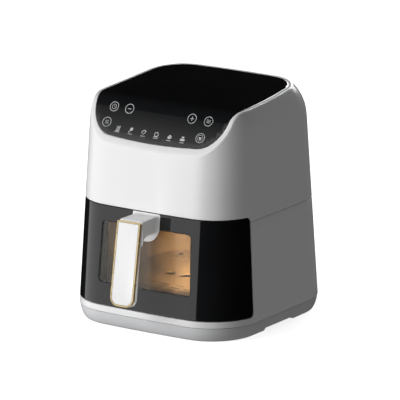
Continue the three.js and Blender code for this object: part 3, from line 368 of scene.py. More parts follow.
# %% Plates with holes and rounded edges
def offset_loop(loop, distance):
    """Moves a counterclockwise loop inwards by distance (outwards if it is negative)."""
    loop = np.array(loop, float)
    before = loop - np.roll(loop, 1, 0)
    after = np.roll(loop, -1, 0) - loop
    before /= np.linalg.norm(before, axis=1)[:, None]
    after /= np.linalg.norm(after, axis=1)[:, None]
    middle = before + after
    middle /= np.linalg.norm(middle, axis=1)[:, None]
    inward = np.stack([-middle[:, 1], middle[:, 0]], 1)
    stretch = 1 / np.clip(np.sum(middle * after, 1), 0.5, 1)
    return loop + inward * (distance * stretch)[:, None]


def inside(points, loop):
    points, loop = np.asarray(points, float), np.asarray(loop, float)
    result = np.zeros(len(points), bool)
    for (x0, y0), (x1, y1) in zip(loop, np.roll(loop, -1, 0)):
        crosses = (y0 > points[:, 1]) != (y1 > points[:, 1])
        with np.errstate(divide="ignore", invalid="ignore"):
            at = x0 + (points[:, 1] - y0) * (x1 - x0) / (y1 - y0)
        result ^= crosses & (points[:, 0] < at)
    return result


def counterclockwise(loop):
    loop = np.array(loop, float)
    x, y = loop[:, 0], loop[:, 1]
    return loop if np.sum(x * np.roll(y, -1) - np.roll(x, -1) * y) > 0 else loop[::-1]


def denser(loop, step):
    """Adds points so that no side of a loop is longer than step."""
    made = []
    for a, b in zip(np.array(loop, float), np.roll(np.array(loop, float), -1, 0)):
        parts = max(1, math.ceil(np.linalg.norm(b - a) / step))
        made += [a + (b - a) * k / parts for k in range(parts)]
    return np.array(made)


def evenly(loop, count):
    """The same loop with a set number of evenly spaced points, so that loops can be joined."""
    closed = np.concatenate([loop, loop[:1]])
    length = np.concatenate([[0], np.cumsum(np.linalg.norm(np.diff(closed, axis=0), axis=1))])
    at = np.linspace(0, length[-1], count, endpoint=False)
    return np.stack([np.interp(at, length, closed[:, 0]), np.interp(at, length, closed[:, 1])], 1)


def within_rims(verts, tris, rims, loops):
    """Keeps the triangles of the regions that lie in the sheet. Regions end at rims, so slivers stay too."""
    walls = {frozenset(pair) for rim in rims for pair in zip(rim, rim[1:] + rim[:1])}
    region, owner = list(range(len(tris))), {}

    def root(k):
        while region[k] != k:
            k = region[k]
        return k

    for k, t in enumerate(tris):
        for side in map(frozenset, zip(t, t[1:] + t[:1])):
            if side in owner and side not in walls:
                region[root(k)] = root(owner[side])
            owner[side] = k
    corners = verts[np.array(tris)]
    first, second = corners[:, 1] - corners[:, 0], corners[:, 2] - corners[:, 0]
    areas = np.abs(first[:, 0] * second[:, 1] - first[:, 1] * second[:, 0])
    roots = np.array([root(k) for k in range(len(tris))])
    kept = set()
    for r in set(roots.tolist()):
        members = np.flatnonzero(roots == r)
        middle = corners[members[np.argmax(areas[members])]].mean(0)[None]
        if inside(middle, loops[0])[0] and not any(inside(middle, hole)[0] for hole in loops[1:]):
            kept.add(r)
    return [t for t, r in zip(tris, roots) if r in kept]


def plate(outer, holes, grid, place, thickness, edge=0.6, back_edge=0.0, steps=4):
    """A sheet cut to an outline. place(points, depth) says where a point of the flat layout goes."""
    loops = [counterclockwise(outer)] + [counterclockwise(h) for h in holes]
    signs = [1] + [-1] * len(holes)
    turn = np.linspace(0, math.pi / 2, steps + 1)
    face_loops = [offset_loop(l, s * edge) for l, s in zip(loops, signs)]
    grid = np.array(grid, float).reshape(-1, 2)
    if len(grid):
        keep = inside(grid, offset_loop(loops[0], edge + 0.4))
        for hole in loops[1:]:
            keep &= ~inside(grid, offset_loop(hole, -edge - 0.4))
        grid = grid[keep]
    flat = np.concatenate(face_loops + ([grid] if len(grid) else []))
    edges, start = [], 0
    for l in loops:
        edges += [(start + i, start + (i + 1) % len(l)) for i in range(len(l))]
        start += len(l)
    verts, _, tris, origin, _, _ = delaunay_2d_cdt([Vector(p) for p in flat], edges, [], 0, 1e-6)
    verts = np.array([tuple(v) for v in verts])
    where = {o: i for i, os in enumerate(origin) for o in os}
    starts = np.cumsum([0] + [len(loop) for loop in loops])
    ids = [[where[k] for k in range(a, b)] for a, b in zip(starts[:-1], starts[1:])]
    tris = within_rims(verts, [tuple(t) for t in tris], ids, face_loops)
    back_flat = verts.copy()
    for loop, sign, idx in zip(loops, signs, ids):
        back_flat[idx] = offset_loop(loop, sign * back_edge)
    points = [place(verts, np.zeros(len(verts))), place(back_flat, np.full(len(verts), float(thickness)))]
    total = 2 * len(verts)
    faces = [tuple(t) for t in tris] + [tuple(len(verts) + v for v in reversed(t)) for t in tris]
    for loop, sign, idx in zip(loops, signs, ids):
        chain = [np.array(idx)]
        for t in turn[::-1][1:] if edge > 0 else []:
            ring = offset_loop(loop, sign * edge * (1 - math.cos(t)))
            points.append(place(ring, np.full(len(ring), edge * (1 - math.sin(t)))))
            chain.append(np.arange(total, total + len(ring)))
            total += len(ring)
        if back_edge > 0:
            for t in turn[:-1]:
                ring = offset_loop(loop, sign * back_edge * (1 - math.cos(t)))
                points.append(place(ring, np.full(len(ring), thickness - back_edge * (1 - math.sin(t)))))
                chain.append(np.arange(total, total + len(ring)))
                total += len(ring)
        chain.append(len(verts) + np.array(idx))
        for a, b in zip(chain[:-1], chain[1:]):
            for i in range(len(a)):
                j = (i + 1) % len(a)
                faces.append((a[i], b[i], b[j], a[j]))
    return np.concatenate(points), [tuple(int(v) for v in f) for f in faces]


def flat_place(axis, start, direction=1):
    """A place function for plates that lie flat: axis is the depth axis, and start is the face."""
    def place(points, depth):
        return on_axis(axis, points[:, 0], points[:, 1], start + direction * depth)
    return place


def grid_points(x0, x1, dx, y0, y1, dy):
    xs, ys = np.arange(x0, x1 + dx / 2, dx), np.arange(y0, y1 + dy / 2, dy)
    return np.stack(np.meshgrid(xs, ys), -1).reshape(-1, 2)


def cut_away(piece, *cutters):
    """Takes cutters, given as (points, faces) in millimetres, out of a piece."""
    for points, faces in cutters:
        tool = mesh_object("cutter", points, faces)
        tidy_mesh(tool)
        change = piece.modifiers.new("cut", "BOOLEAN")
        change.operation, change.solver, change.object = "DIFFERENCE", "EXACT", tool
        bpy.context.view_layer.update()
        made = bpy.data.meshes.new_from_object(piece.evaluated_get(bpy.context.evaluated_depsgraph_get()))
        piece.modifiers.clear()
        piece.data = made
        bpy.data.objects.remove(tool)


def prism(outline, axis, start, stop):
    """A closed bar with a given outline, used to cut. Outlines are (x, y) for z, (x, z) for y, (y, z) for x."""
    outline = np.array(outline, float)
    ends = []
    for d in (start, stop):
        ends.append(on_axis(axis, outline[:, 0], outline[:, 1], np.full(len(outline), float(d))).tolist())
    count = len(outline)
    faces = [(i, (i + 1) % count, count + (i + 1) % count, count + i) for i in range(count)]
    return ends[0] + ends[1], faces + [tuple(range(count)), tuple(range(count, 2 * count))]


def box_outline(x0, x1, y0, y1, radius=0.0, step=None):
    made = np.array(rounded([(x0, y0), (x1, y0), (x1, y1), (x0, y1)], radius, True, math.radians(9)))
    return denser(made, step) if step else made


def circle(x, y, radius, sides=40):
    t = np.linspace(0, 2 * math.pi, sides, endpoint=False)
    return np.stack([x + radius * np.cos(t), y + radius * np.sin(t)], 1)


def slot_outline(x, y, length, width):
    return box_outline(x - length / 2, x + length / 2, y - width / 2, y + width / 2, width / 2 - 0.01)


trial = plate(box_outline(0, 9, 0, 9), [circle(4, 4, 1, 8)], [], flat_place("z", 0), 1, 0.2)
print("a square plate with one hole:", len(trial[1]), "faces")

# %% [markdown]
# ## Finishes
# Moulded plastic is never quite even: its colour drifts a little, its gloss changes where it has been
# handled, and the tool leaves a faint grain. One helper lays those three on any finish with noise in
# the object's own space. Each finish then sets its fixed values on the shader itself.

# %% Finish helper and the finishes
def finish(
    name, colours, roughness, grain, bump, metallic=0.0, coat=0.0, coat_roughness=0.03,
    stretch=(1, 1, 1), ior=1.5, speckle=None,
):
    """colours: two near colours. roughness: low and high. grain: noise scale per metre. bump: height in mm."""
    material = bpy.data.materials.new(name)
    material.use_nodes = True
    nodes, links = material.node_tree.nodes, material.node_tree.links
    shader = nodes["Principled BSDF"]
    shader.inputs["Metallic"].default_value = metallic
    shader.inputs["Coat Weight"].default_value = coat
    shader.inputs["Coat Roughness"].default_value = coat_roughness
    shader.inputs["IOR"].default_value = ior
    where = nodes.new("ShaderNodeTexCoord")
    fit = nodes.new("ShaderNodeMapping")
    fit.inputs["Scale"].default_value = stretch
    links.new(where.outputs["Object"], fit.inputs["Vector"])
    drift = nodes.new("ShaderNodeTexNoise")
    drift.inputs["Scale"].default_value, drift.inputs["Detail"].default_value = 14, 4
    links.new(where.outputs["Object"], drift.inputs["Vector"])
    fine = nodes.new("ShaderNodeTexNoise")
    fine.inputs["Scale"].default_value, fine.inputs["Detail"].default_value = grain, 3
    links.new(fit.outputs["Vector"], fine.inputs["Vector"])
    tint = nodes.new("ShaderNodeValToRGB")
    tint.color_ramp.elements[0].position, tint.color_ramp.elements[1].position = 0.3, 0.7
    for element, colour in zip(tint.color_ramp.elements, colours):
        element.color = (*colour, 1)
    links.new(drift.outputs["Fac"], tint.inputs["Fac"])
    colour_out = tint.outputs["Color"]
    if speckle:
        spots = nodes.new("ShaderNodeTexVoronoi")
        spots.inputs["Scale"].default_value = speckle[1]
        links.new(where.outputs["Object"], spots.inputs["Vector"])
        near = nodes.new("ShaderNodeMapRange")
        near.inputs["From Min"].default_value, near.inputs["From Max"].default_value = 0.1, 0.24
        near.inputs["To Min"].default_value, near.inputs["To Max"].default_value = 0.75, 0.0
        links.new(spots.outputs["Distance"], near.inputs["Value"])
        blend = nodes.new("ShaderNodeMix")
        blend.data_type = "RGBA"
        links.new(near.outputs["Result"], blend.inputs["Factor"])
        links.new(colour_out, blend.inputs["A"])
        blend.inputs["B"].default_value = (*speckle[0], 1)
        colour_out = blend.outputs["Result"]
    links.new(colour_out, shader.inputs["Base Color"])
    gloss = nodes.new("ShaderNodeMapRange")
    gloss.inputs["To Min"].default_value, gloss.inputs["To Max"].default_value = roughness
    links.new(drift.outputs["Fac"], gloss.inputs["Value"])
    links.new(gloss.outputs["Result"], shader.inputs["Roughness"])
    relief = nodes.new("ShaderNodeBump")
    relief.inputs["Distance"].default_value = bump * MM
    relief.inputs["Strength"].default_value = 0.5
    links.new(fine.outputs["Fac"], relief.inputs["Height"])
    links.new(relief.outputs["Normal"], shader.inputs["Normal"])
    return material


WHITE = finish(
    "white_gloss_plastic", [(0.872, 0.872, 0.88), (0.888, 0.888, 0.894)],
    (0.27, 0.3), 1800, 0.006, coat=0.25, coat_roughness=0.08,
)
BLACK = finish(
    "black_piano_plastic", [(0.0085, 0.009, 0.0098), (0.0105, 0.011, 0.012)],
    (0.04, 0.09), 300, 0.002, coat=0.6, coat_roughness=0.02, ior=1.52,
)
GREY = finish("grey_satin_plastic", [(0.66, 0.665, 0.675), (0.7, 0.705, 0.715)], (0.36, 0.48), 2600, 0.02)
DARK = finish("dark_matt_plastic", [(0.012, 0.012, 0.013), (0.02, 0.02, 0.022)], (0.45, 0.6), 2200, 0.03)
# Painted shade: a near-zero black whose low IOR takes away its gloss, so that the window frame, tunnel, seal and
# glass edges read as deep shade whatever light reaches them.
SHADOW_BLACK = finish(
    "painted_shade_black", [(0.003, 0.003, 0.003), (0.005, 0.005, 0.005)],
    (0.6, 0.75), 2200, 0.03, ior=1.06,
)
RUBBER = finish("soft_rubber", [(0.03, 0.03, 0.032), (0.045, 0.045, 0.047)], (0.75, 0.9), 1500, 0.04)
STEEL = finish(
    "brushed_steel", [(0.5, 0.5, 0.5), (0.62, 0.62, 0.61)],
    (0.24, 0.38), 900, 0.01, metallic=1.0, stretch=(1, 1, 30),
)
TUBE = finish(
    "oxidised_heater_tube", [(0.07, 0.065, 0.06), (0.13, 0.115, 0.1)],
    (0.4, 0.6), 1200, 0.02, metallic=0.8,
)
NONSTICK = finish(
    "speckled_nonstick", [(0.19, 0.16, 0.12), (0.24, 0.205, 0.155)],
    (0.32, 0.46), 1400, 0.015, speckle=((0.38, 0.34, 0.29), 420),
)
GOLD = finish(
    "brushed_gold_trim", [(0.74, 0.56, 0.28), (0.84, 0.68, 0.38)],
    (0.2, 0.34), 700, 0.006, metallic=0.7, stretch=(1, 1, 40),
)
BOARD = finish("green_circuit_board", [(0.01, 0.09, 0.035), (0.02, 0.13, 0.05)], (0.35, 0.5), 1100, 0.02)
PAINT = finish("motor_paint", [(0.03, 0.03, 0.034), (0.05, 0.05, 0.055)], (0.4, 0.55), 1600, 0.03)
LEGEND = finish("pale_printed_ink", [(0.56, 0.57, 0.58), (0.64, 0.65, 0.66)], (0.4, 0.5), 1500, 0.002)


def glass(name, colours, ior):
    """Clear coated glass: light passes through it, and the surface keeps its gloss."""
    material = finish(name, colours, (0.0, 0.01), 200, 0.0)
    shader = material.node_tree.nodes["Principled BSDF"]
    shader.inputs["Transmission Weight"].default_value = 1.0
    shader.inputs["IOR"].default_value = ior
    shader.inputs["Coat Weight"].default_value = 0.0
    return material


PANE = glass("smoked_window_glass", [(0.86, 0.79, 0.68), (0.9, 0.83, 0.72)], 1.46)
INNER_PANE = glass("inner_window_glass", [(0.93, 0.9, 0.86), (0.95, 0.92, 0.88)], 1.12)


def glowing(name, colour, strength):
    material = finish(name, [(0.9, 0.85, 0.75), (0.95, 0.9, 0.82)], (0.2, 0.3), 900, 0.004)
    shader = material.node_tree.nodes["Principled BSDF"]
    shader.inputs["Emission Color"].default_value = (*colour, 1)
    shader.inputs["Emission Strength"].default_value = strength
    return material


BULB = glowing("lit_bulb_glass", (1.0, 0.62, 0.28), 6.0)
LENS = glowing("lit_lamp_lens", (1.0, 0.68, 0.36), 2.2)
print("finishes:", len(bpy.data.materials))

# %% [markdown]
# ## Upper shell
# The white shell is one moulding that wraps all four sides and ends in a narrow rim round the black
# panel. It is lofted as a closed loop of rings: up the outside, over a soft edge, down the panel's
# seat and back down the inside. Its lower edge steps up over the drawer bay at the front.

# %% Lower edge and rings of the upper shell
bay_depth = BAY_EDGE - reference[:, 1]
bay_round = np.sqrt(np.clip(BAY_CORNER**2 - (BAY_CORNER - np.clip(bay_depth, 0, BAY_CORNER)) ** 2, 0, None))
low_edge = np.where(IN_BAY, DRAWER_TOP + SEAM - BAY_CORNER + bay_round, SHELL_SEAM + FIT)
EDGE = 1.1
SOFT_EDGE = ((0, 0), (0.12, 0.25), (0.4, 0.4))


def over_edge(start, corner, finish_at, steps=5):
    """A soft edge: a curve from one ring to another that is pulled towards their corner."""
    shares = np.linspace(0, 1, steps + 1)
    return [((1 - t) ** 2) * start + 2 * t * (1 - t) * corner + t * t * finish_at for t in shares]


def top_ring(inset, drop=0.0):
    return skin(ALL, top_crossing(inset, drop), inset)


wall_top = crown - EDGE * 1.6
rings = [skin(ALL, low_edge + r, 0.4 - d) for r, d in SOFT_EDGE]
for share in np.linspace(0, 1, 46)[1:-1]:
    rings.append(skin(ALL, low_edge + 0.4 + (wall_top - low_edge - 0.4) * share))
rings += over_edge(skin(ALL, wall_top), top_ring(0.0), top_ring(1.3))
rings += over_edge(top_ring(RIM - 0.5), top_ring(RIM), top_ring(RIM) - [0, 0, 0.8], 3)
rings += [skin(ALL, top_crossing(RIM) - PANEL - FIT, RIM)]
rings += [top_ring(7.9, PANEL + FIT), top_ring(7.9, PANEL + FIT + 3)]
rings += [skin(ALL, crown - 12, WALL), skin(ALL, low_edge, WALL)]
points, faces = loft(rings, cyclic=True)
upper_shell = make_piece("shell_upper", points, faces, WHITE, "housing", ["upper_shell"])
VENT = (-44.3, 44.3, 165.7, 202.3)
cut_away(upper_shell, prism(box_outline(*VENT, 1.5), "y", 90, 150))
tidy_mesh(upper_shell, 30)
print("upper shell:", len(upper_shell.data.polygons), "faces")

# %% [markdown]
# ## Lower shell
# The lower shell carries on the same skin down to the base. In front it shrinks to a narrow band
# under the drawer, with a round corner where the bay's side meets that band.

# %% Lower shell
high_edge = np.where(IN_BAY, BAND_TOP - SEAM / 2 + BAY_CORNER - bay_round, SHELL_SEAM - FIT)
foot_edge = BASE_TOP + FIT
rings = [skin(ALL, foot_edge + r, 0.4 - d) for r, d in SOFT_EDGE]
for share in np.linspace(0, 1, 12)[1:-1]:
    rings.append(skin(ALL, foot_edge + 0.4 + (high_edge - foot_edge - 0.8) * share))
rings += [skin(ALL, high_edge - r, 0.4 - d) for r, d in SOFT_EDGE[::-1]]
rings += [skin(ALL, high_edge, WALL), skin(ALL, foot_edge, WALL)]
points, faces = loft(rings, cyclic=True)
lower_shell = make_piece("shell_lower", points, faces, WHITE, "housing", ["lower_shell"])
GLAND = (45.0, 46.0)
cut_away(lower_shell, prism(circle(*GLAND, 6.8), "y", 100, 150))
tidy_mesh(lower_shell, 30)

# %% Deck that closes the band under the drawer
band = skin(ALL, BAND_TOP, WALL + 0.2)
front_half = band[band[:, 1] < -64][:, :2]
deck_loop = counterclockwise(front_half[np.argsort(np.arctan2(front_half[:, 1] + 64, front_half[:, 0]))])
points, faces = plate(deck_loop, [], [], flat_place("z", BAND_TOP - SEAM / 2, -1), 2.2, 0.3)
make_piece("drawer_sill", points, faces, WHITE, "housing")

# %% [markdown]
# ## Black top panel
# The panel is a single sheet of gloss plastic bent over the control slope and the deck. Seen from
# above its outline is the casing's, moved in by the rim. It is laid out flat in plan and dropped
# onto the top profile, with more rows where the bend is tight.

# %% Top panel
rim_ring = top_ring(RIM + FIT)[:, :2]
rows = np.concatenate([np.arange(-120, -92, 2.2), np.arange(-92, -58, 0.9), np.arange(-58, 126, 6)])
layout = np.stack(np.meshgrid(np.arange(-120, 121, 6), rows), -1).reshape(-1, 2)


def on_top(points, depth):
    y = points[:, 1]
    slope = (top_height(y + 0.4) - top_height(y - 0.4)) / 0.8
    length = np.sqrt(1 + slope**2)
    return np.stack([points[:, 0], y + depth * slope / length, top_height(y) - depth / length], 1)


points, faces = plate(rim_ring, [], layout, on_top, PANEL, 0.7)
make_piece("panel_top", points, faces, BLACK, "housing", ["top_panel"], 32)

# %% [markdown]
# ## Touch legends
# Six ringed touch marks and six small food pictures are printed on the slope. They are made as very
# thin raised ink, a few hundredths of a millimetre, from simple strokes: a ring, a bar, a dot. The
# pictures are plain shapes of the maker's own, and there is no lettering.

# %% Ink strokes on the slope
INK = 0.06
slope_along = np.array([0, math.cos(SLOPE), math.sin(SLOPE)])
slope_out = np.array([0, -math.sin(SLOPE), math.cos(SLOPE)])
slope_start = np.array([0, *SLOPE_FOOT])
ink_points, ink_faces = [], []


def ink(outer, holes=()):
    def place(points, depth):
        flat = slope_start + points[:, :1] * [1, 0, 0] + points[:, 1:] * slope_along
        return flat + (INK - depth)[:, None] * slope_out
    points, faces = plate(outer, list(holes), [], place, INK * 1.5, 0.0, steps=1)
    ink_faces.extend(tuple(v + len(ink_points) for v in f) for f in faces)
    ink_points.extend(points.tolist())


def ink_ring(x, u, radius, width, sides=56):
    ink(circle(x, u, radius, sides), [circle(x, u, radius - width, sides)])


def ink_bar(x0, u0, x1, u1, width):
    along = np.array([x1 - x0, u1 - u0], float)
    along /= np.linalg.norm(along)
    side = np.array([-along[1], along[0]]) * width / 2
    a, b = np.array([x0, u0]), np.array([x1, u1])
    ink(np.array([a - side, b - side, b + side, a + side]))


def ink_line(points, width):
    for (x0, u0), (x1, u1) in zip(points[:-1], points[1:]):
        ink_bar(x0, u0, x1, u1, width)


print("ink stands", INK, "mm proud of a slope of", round(math.degrees(SLOPE)), "degrees")

# %% Ringed touch marks
TOUCH = {
    "timer": (-74, 53), "less": (-50, 53), "heat": (-78, 31),
    "more": (47.5, 52.6), "menu": (73, 52.4), "power": (68.4, 28.8),
}
for x, u in TOUCH.values():
    ink_ring(x, u, 6.7, 0.72)
x, u = TOUCH["timer"]
ink_ring(x, u, 3.5, 0.55)
ink_line([(x, u + 2.2), (x, u), (x + 1.7, u)], 0.5)
x, u = TOUCH["less"]
ink_bar(x - 2.6, u, x + 2.6, u, 0.9)
x, u = TOUCH["more"]
ink_bar(x - 2.8, u, x + 2.8, u, 0.9)
ink_bar(x, u - 2.8, x, u - 0.5, 0.9)
ink_bar(x, u + 0.5, x, u + 2.8, 0.9)
x, u = TOUCH["heat"]
for k in (-1.8, 0, 1.8):
    ink_line([(x + k - 0.4, u - 2.6), (x + k + 0.4, u - 0.9), (x + k - 0.4, u + 0.9), (x + k + 0.4, u + 2.6)], 0.5)
x, u = TOUCH["menu"]
for k in (-1.8, 0, 1.8):
    ink_bar(x - 3.2, u + k, x + 3.2, u + k, 0.6)
x, u = TOUCH["power"]
ink_ring(x, u, 4.2, 0.5)
ink(rounded([(x + 2.4 * math.cos(t), u + 2.4 * math.sin(t)) for t in np.radians([250, 290, 20, 160])], 0.3))

print("touch marks:", len(TOUCH), "with", len(ink_faces), "faces")

# %% Small food pictures
ICON_X = (-58.2, -37.9, -17.8, 2.2, 22.6, 43.0)
for i, x in enumerate(ICON_X):
    u = 24.6 - 0.2 * i
    ink_bar(x - 3.6, u - 4.9, x + 3.2, u - 4.9, 0.7)
    if i == 0:
        for k in (-1.9, 0, 1.9):
            ink_bar(x + k, u - 3, x + k + 0.9, u + 3.4, 0.8)
        ink_bar(x - 3, u - 3.2, x + 3, u - 3.2, 0.9)
    elif i == 1:
        ink(rounded([(x - 1.8, u - 0.6), (x + 2.4, u - 0.2), (x + 2.9, u + 3.6), (x - 0.8, u + 3.9)], 1.2))
        ink_bar(x - 1.4, u - 0.6, x - 2.8, u - 3.2, 1.0)
    elif i == 2:
        hook = [(-3.2, -1), (-1.6, 2.4), (1.2, 3.4), (3.2, 1.6), (1.2, -0.4), (-0.6, -2.8)]
        ink_line([(x + dx, u + du) for dx, du in hook], 0.9)
    elif i == 3:
        ink_ring(x, u + 0.4, 3.2, 0.8, 28)
        ink_bar(x - 3.9, u - 2.9, x + 3.9, u - 2.9, 0.7)
    elif i == 4:
        steak = [(x - 3.6, u - 2.4), (x + 2.6, u - 2.6), (x + 3.4, u + 1.2), (x - 0.2, u + 3.4)]
        ink(rounded(steak, 1.3), [circle(x + 0.7, u + 0.2, 0.9, 16)])
    else:
        ink(rounded([(x - 3.2, u - 2.6), (x + 3.2, u - 2.6), (x + 3.8, u + 0.2), (x - 3.8, u + 0.2)], 0.5))
        ink(rounded([(x - 2.6, u + 1.1), (x + 2.6, u + 1.1), (x + 1.4, u + 3.4), (x - 1.4, u + 3.4)], 0.6))
make_piece("touch_legends", ink_points, ink_faces, LEGEND, "housing")
print("ink strokes:", len(ink_faces), "faces")

# %% [markdown]
# ## Grey base
# The base is a shallow tray that curves in under the shell, so the machine seems to float. The
# curve is close to a quarter of an ellipse. Underneath, a channel runs from side to side and is open
# through the tray's floor, and there are round seats for four feet.

# %% Base skin
def base_inset(z):
    drop = np.clip((BASE_TOP - z) / (BASE_TOP - 1.0), 0, 1)
    return 0.6 + 7.5 * (1 - np.sqrt(np.clip(1 - drop**2.1, 0, 1))) * 0.62 + 2.9 * drop**1.5


def base_ring(z, extra_inset=0.0):
    ring = skin(ALL, BASE_TOP, base_inset(z) + extra_inset)
    ring[:, 2] = z
    return ring.tolist()


heights = [1.0, 1.25, 1.8, 2.8, 4.2, 6, 8, 10.5, 13, 15.5, 17.8, 19.3, 19.7]
rings = [base_ring(1.0, 1.0)] + [base_ring(z) for z in heights] + [base_ring(19.7, 2.5), base_ring(4.0, 2.5)]
points, faces = loft(rings)
base = make_piece("base", points, faces, GREY, "housing", ["base_tray"])
FOUR = [(-1, -1), (1, -1), (-1, 1), (1, 1)]
FEET = [(sx * (HALF_WIDTH - 49), sy * (HALF_DEPTH - 49)) for sx, sy in FOUR]
cutters = [prism(box_outline(-37, 35, -4, 6, 0), "x", -150, 150)]
cutters += [prism(circle(x, y, 9.3), "z", -2, 2.4) for x, y in FEET]
cut_away(base, *cutters)
tidy_mesh(base, 30)

# %% Feet and the cord bushing
ridges = [
    (0.5, 0.0), (6.2, 0.0), (6.6, 0.5), (7.0, 0.0), (8.4, 0.0), (8.9, 0.35), (9.0, 0.9), (9.0, 1.9), (0.5, 1.9),
]
for (x, y), corner in zip(FEET, ("front_left", "front_right", "rear_left", "rear_right")):
    points, faces = loft(lathe(ridges, (x, y, 0)))
    make_piece("pad_" + corner, points, faces, RUBBER, "housing", ["foot_" + corner])
wall_y = back_wall(GLAND[1])
bushing = [
    (3.6, -9), (6.2, -9), (6.5, -8), (6.5, -0.4), (9.2, -0.3), (9.5, 0.2),
    (9.3, 1.3), (8.6, 1.9), (5.2, 2.0), (4.2, 1.7), (3.6, 1.0),
]
points, faces = loft(lathe(bushing, (GLAND[0], wall_y, GLAND[1]), axis="y"), cyclic=True)
make_piece("cord_bushing", points, faces, RUBBER, "housing", ["cord_gland"])

# %% [markdown]
# ## Rear outlet grille
# Hot air leaves through a slatted outlet in the back. It is one plate bent to the casing, with a row
# of long slots. A plate with holes suits it: every slot gets its own soft edge.

# %% Grille on the bent back
columns_x = reference[:, 0]
rear_index = [i for i in range(COLUMN_COUNT) if reference[i, 1] > 100 and abs(columns_x[i]) <= 80]
rear_index = sorted(rear_index, key=lambda i: columns_x[i])


def on_back(points, depth):
    column = np.interp(points[:, 0], columns_x[rear_index], rear_index)
    return skin(column, points[:, 1], 0.2 + depth)


slots = [slot_outline(0, z + 1.3, 76, 2.7) for z in np.arange(171, 199, 5.4)]
outer = box_outline(-44, 44, 166, 202, 1.2, 4.0)
slots = [denser(s, 4.0) for s in slots]
points, faces = plate(outer, slots, grid_points(-42, 42, 4, 168, 201, 2.7), on_back, 2.4, 0.35)
make_piece("outlet_grille", points, faces, DARK, "housing", ["rear_grille"])

# %% [markdown]
# ## Drawer front
# The black front wraps the whole lower front and ends on the sides in two round corners. It has to
# lie in the same skin as the shell, so it is laid out flat, in distance along the outline and height,
# cut out there with its window, and then bent onto the casing.

# %% Flat layout of the front
front_index = [i for i in range(COLUMN_COUNT) if reference[i, 1] < -55]
front_index = sorted(front_index, key=lambda i: math.atan2(reference[i, 0], -reference[i, 1] - 40))
CORNER_RUN = 86.0


def layout_of(i):
    """Flat distance along the front for a column: x in front, then round the corner, then y."""
    x, y = reference[i]
    side = 1 if x > 0 else -1
    if abs(x) <= END_REACH + 1e-6:
        return x
    if -y <= SIDE_REACH + 1e-6:
        return side * (END_REACH + CORNER_RUN + SIDE_REACH + y)
    return None


run = np.array([layout_of(i) if layout_of(i) is not None else np.nan for i in front_index], float)
known = ~np.isnan(run)
run = np.interp(np.arange(len(run)), np.arange(len(run))[known], run[known])
FRONT_END = END_REACH + CORNER_RUN + SIDE_REACH + DRAWER_EDGE
print("front layout runs to +-", round(FRONT_END, 1), "mm")


def on_front(points, depth):
    order = np.interp(points[:, 0], run, np.arange(len(run)))
    i = np.clip(np.floor(order).astype(int), 0, len(run) - 2)
    f = (order - i)[:, None]
    left = skin(np.array(front_index)[i], points[:, 1], depth)
    right = skin(np.array(front_index)[i + 1], points[:, 1], depth)
    return left * (1 - f) + right * f


# %% Cut and bend the front
WINDOW = [(-72, 60), (72, 60), (69, 140.7), (-69, 140.7)]
WINDOW_CORNER, SILL_DROP = 5, 6.5


def window_outline(grow):
    corners = [(x + grow * (1 if x > 0 else -1), z + grow * (1 if z > 100 else -1)) for x, z in WINDOW]
    return denser(rounded(corners, WINDOW_CORNER + max(grow, -3)), 4.0)


def sight_outline(grow):
    """The opening behind the window. Its sill sits lower, so that the food plate shows right to the glass."""
    loop = window_outline(grow)
    return loop - [0, SILL_DROP] * np.clip((75 - loop[:, 1:]) / 12, 0, 1)


front_low, front_high = BAND_TOP + SEAM / 2, DRAWER_TOP
outer = denser(box_outline(-FRONT_END, FRONT_END, front_low, front_high, DRAWER_CORNER), 3.0)
layout = np.stack(np.meshgrid(run[np.abs(run) < FRONT_END - 1], np.arange(34, 160, 6.0)), -1).reshape(-1, 2)
points, faces = plate(outer, [window_outline(0)], layout, on_front, DRAWER_WALL, 0.8)
make_piece("drawer_face", points, faces, BLACK, "drawer", ["drawer_front"], 32)
layout = np.stack(np.meshgrid(run[np.abs(run) < 70], np.arange(62, 140, 6.0)), -1).reshape(-1, 2)
points, faces = plate(window_outline(-FIT), [], layout, lambda p, d: on_front(p, d + 0.15), 2.7, 0.25)
pane = make_piece("window_outer_pane", points, faces, PANE, "drawer", ["outer_window"], 32)


def paint_shade_on_glass_edges(piece):
    """Paints the glass's cut edges in the painted-shade black, so they show as shade and not as the light the glass
    carries to its edges.
    """
    piece.data.materials.append(SHADOW_BLACK)
    for polygon in piece.data.polygons:
        polygon.material_index = int(abs(polygon.normal.y) < 0.5)


# Painted shade on the outer pane's cut edges.
paint_shade_on_glass_edges(pane)

# %% [markdown]
# ## Behind the front
# A black frame makes a short tunnel behind the window and holds the inner pane in a rubber seal. The
# frame is a bent plate joined by the tunnel's wall. Only its sight edges show, so it stays plain.

# %% Frame, seal and inner pane
# The frame, tunnel and seal below take the painted-shade black, which stands in for the shade in the window's recess
# instead of showing their own colour and gloss.
SIGHT_Y = front_wall(100.35) + 18
FRAME_SHEET = 2.2
rim_low, rim_high = BAND_TOP + SEAM / 2 + 1, DRAWER_TOP - 0.9
frame_columns = [front_index[k] for k in range(len(run)) if abs(run[k]) < FRONT_END - 3.6]
plan = skin(frame_columns, 95.0, DRAWER_WALL + 2.4)[:, :2]
left_plan = plan[: len(plan) // 2]
half_plate = float(np.interp(-SIGHT_Y, -left_plan[:, 1], np.abs(left_plan[:, 0]))) - 1.5
frame_edge = box_outline(-half_plate, half_plate, rim_low + 1, rim_high - 1, 3, 5)
on_frame = flat_place("y", SIGHT_Y)
points, faces = plate(frame_edge, [sight_outline(3.4)], [], on_frame, FRAME_SHEET, 0.5)
make_piece("window_frame", points, faces, SHADOW_BLACK, "drawer", ["drawer_frame"])


def on_sight(loop):
    return on_axis("y", loop[:, 0], loop[:, 1], np.full(len(loop), SIGHT_Y - 0.1))


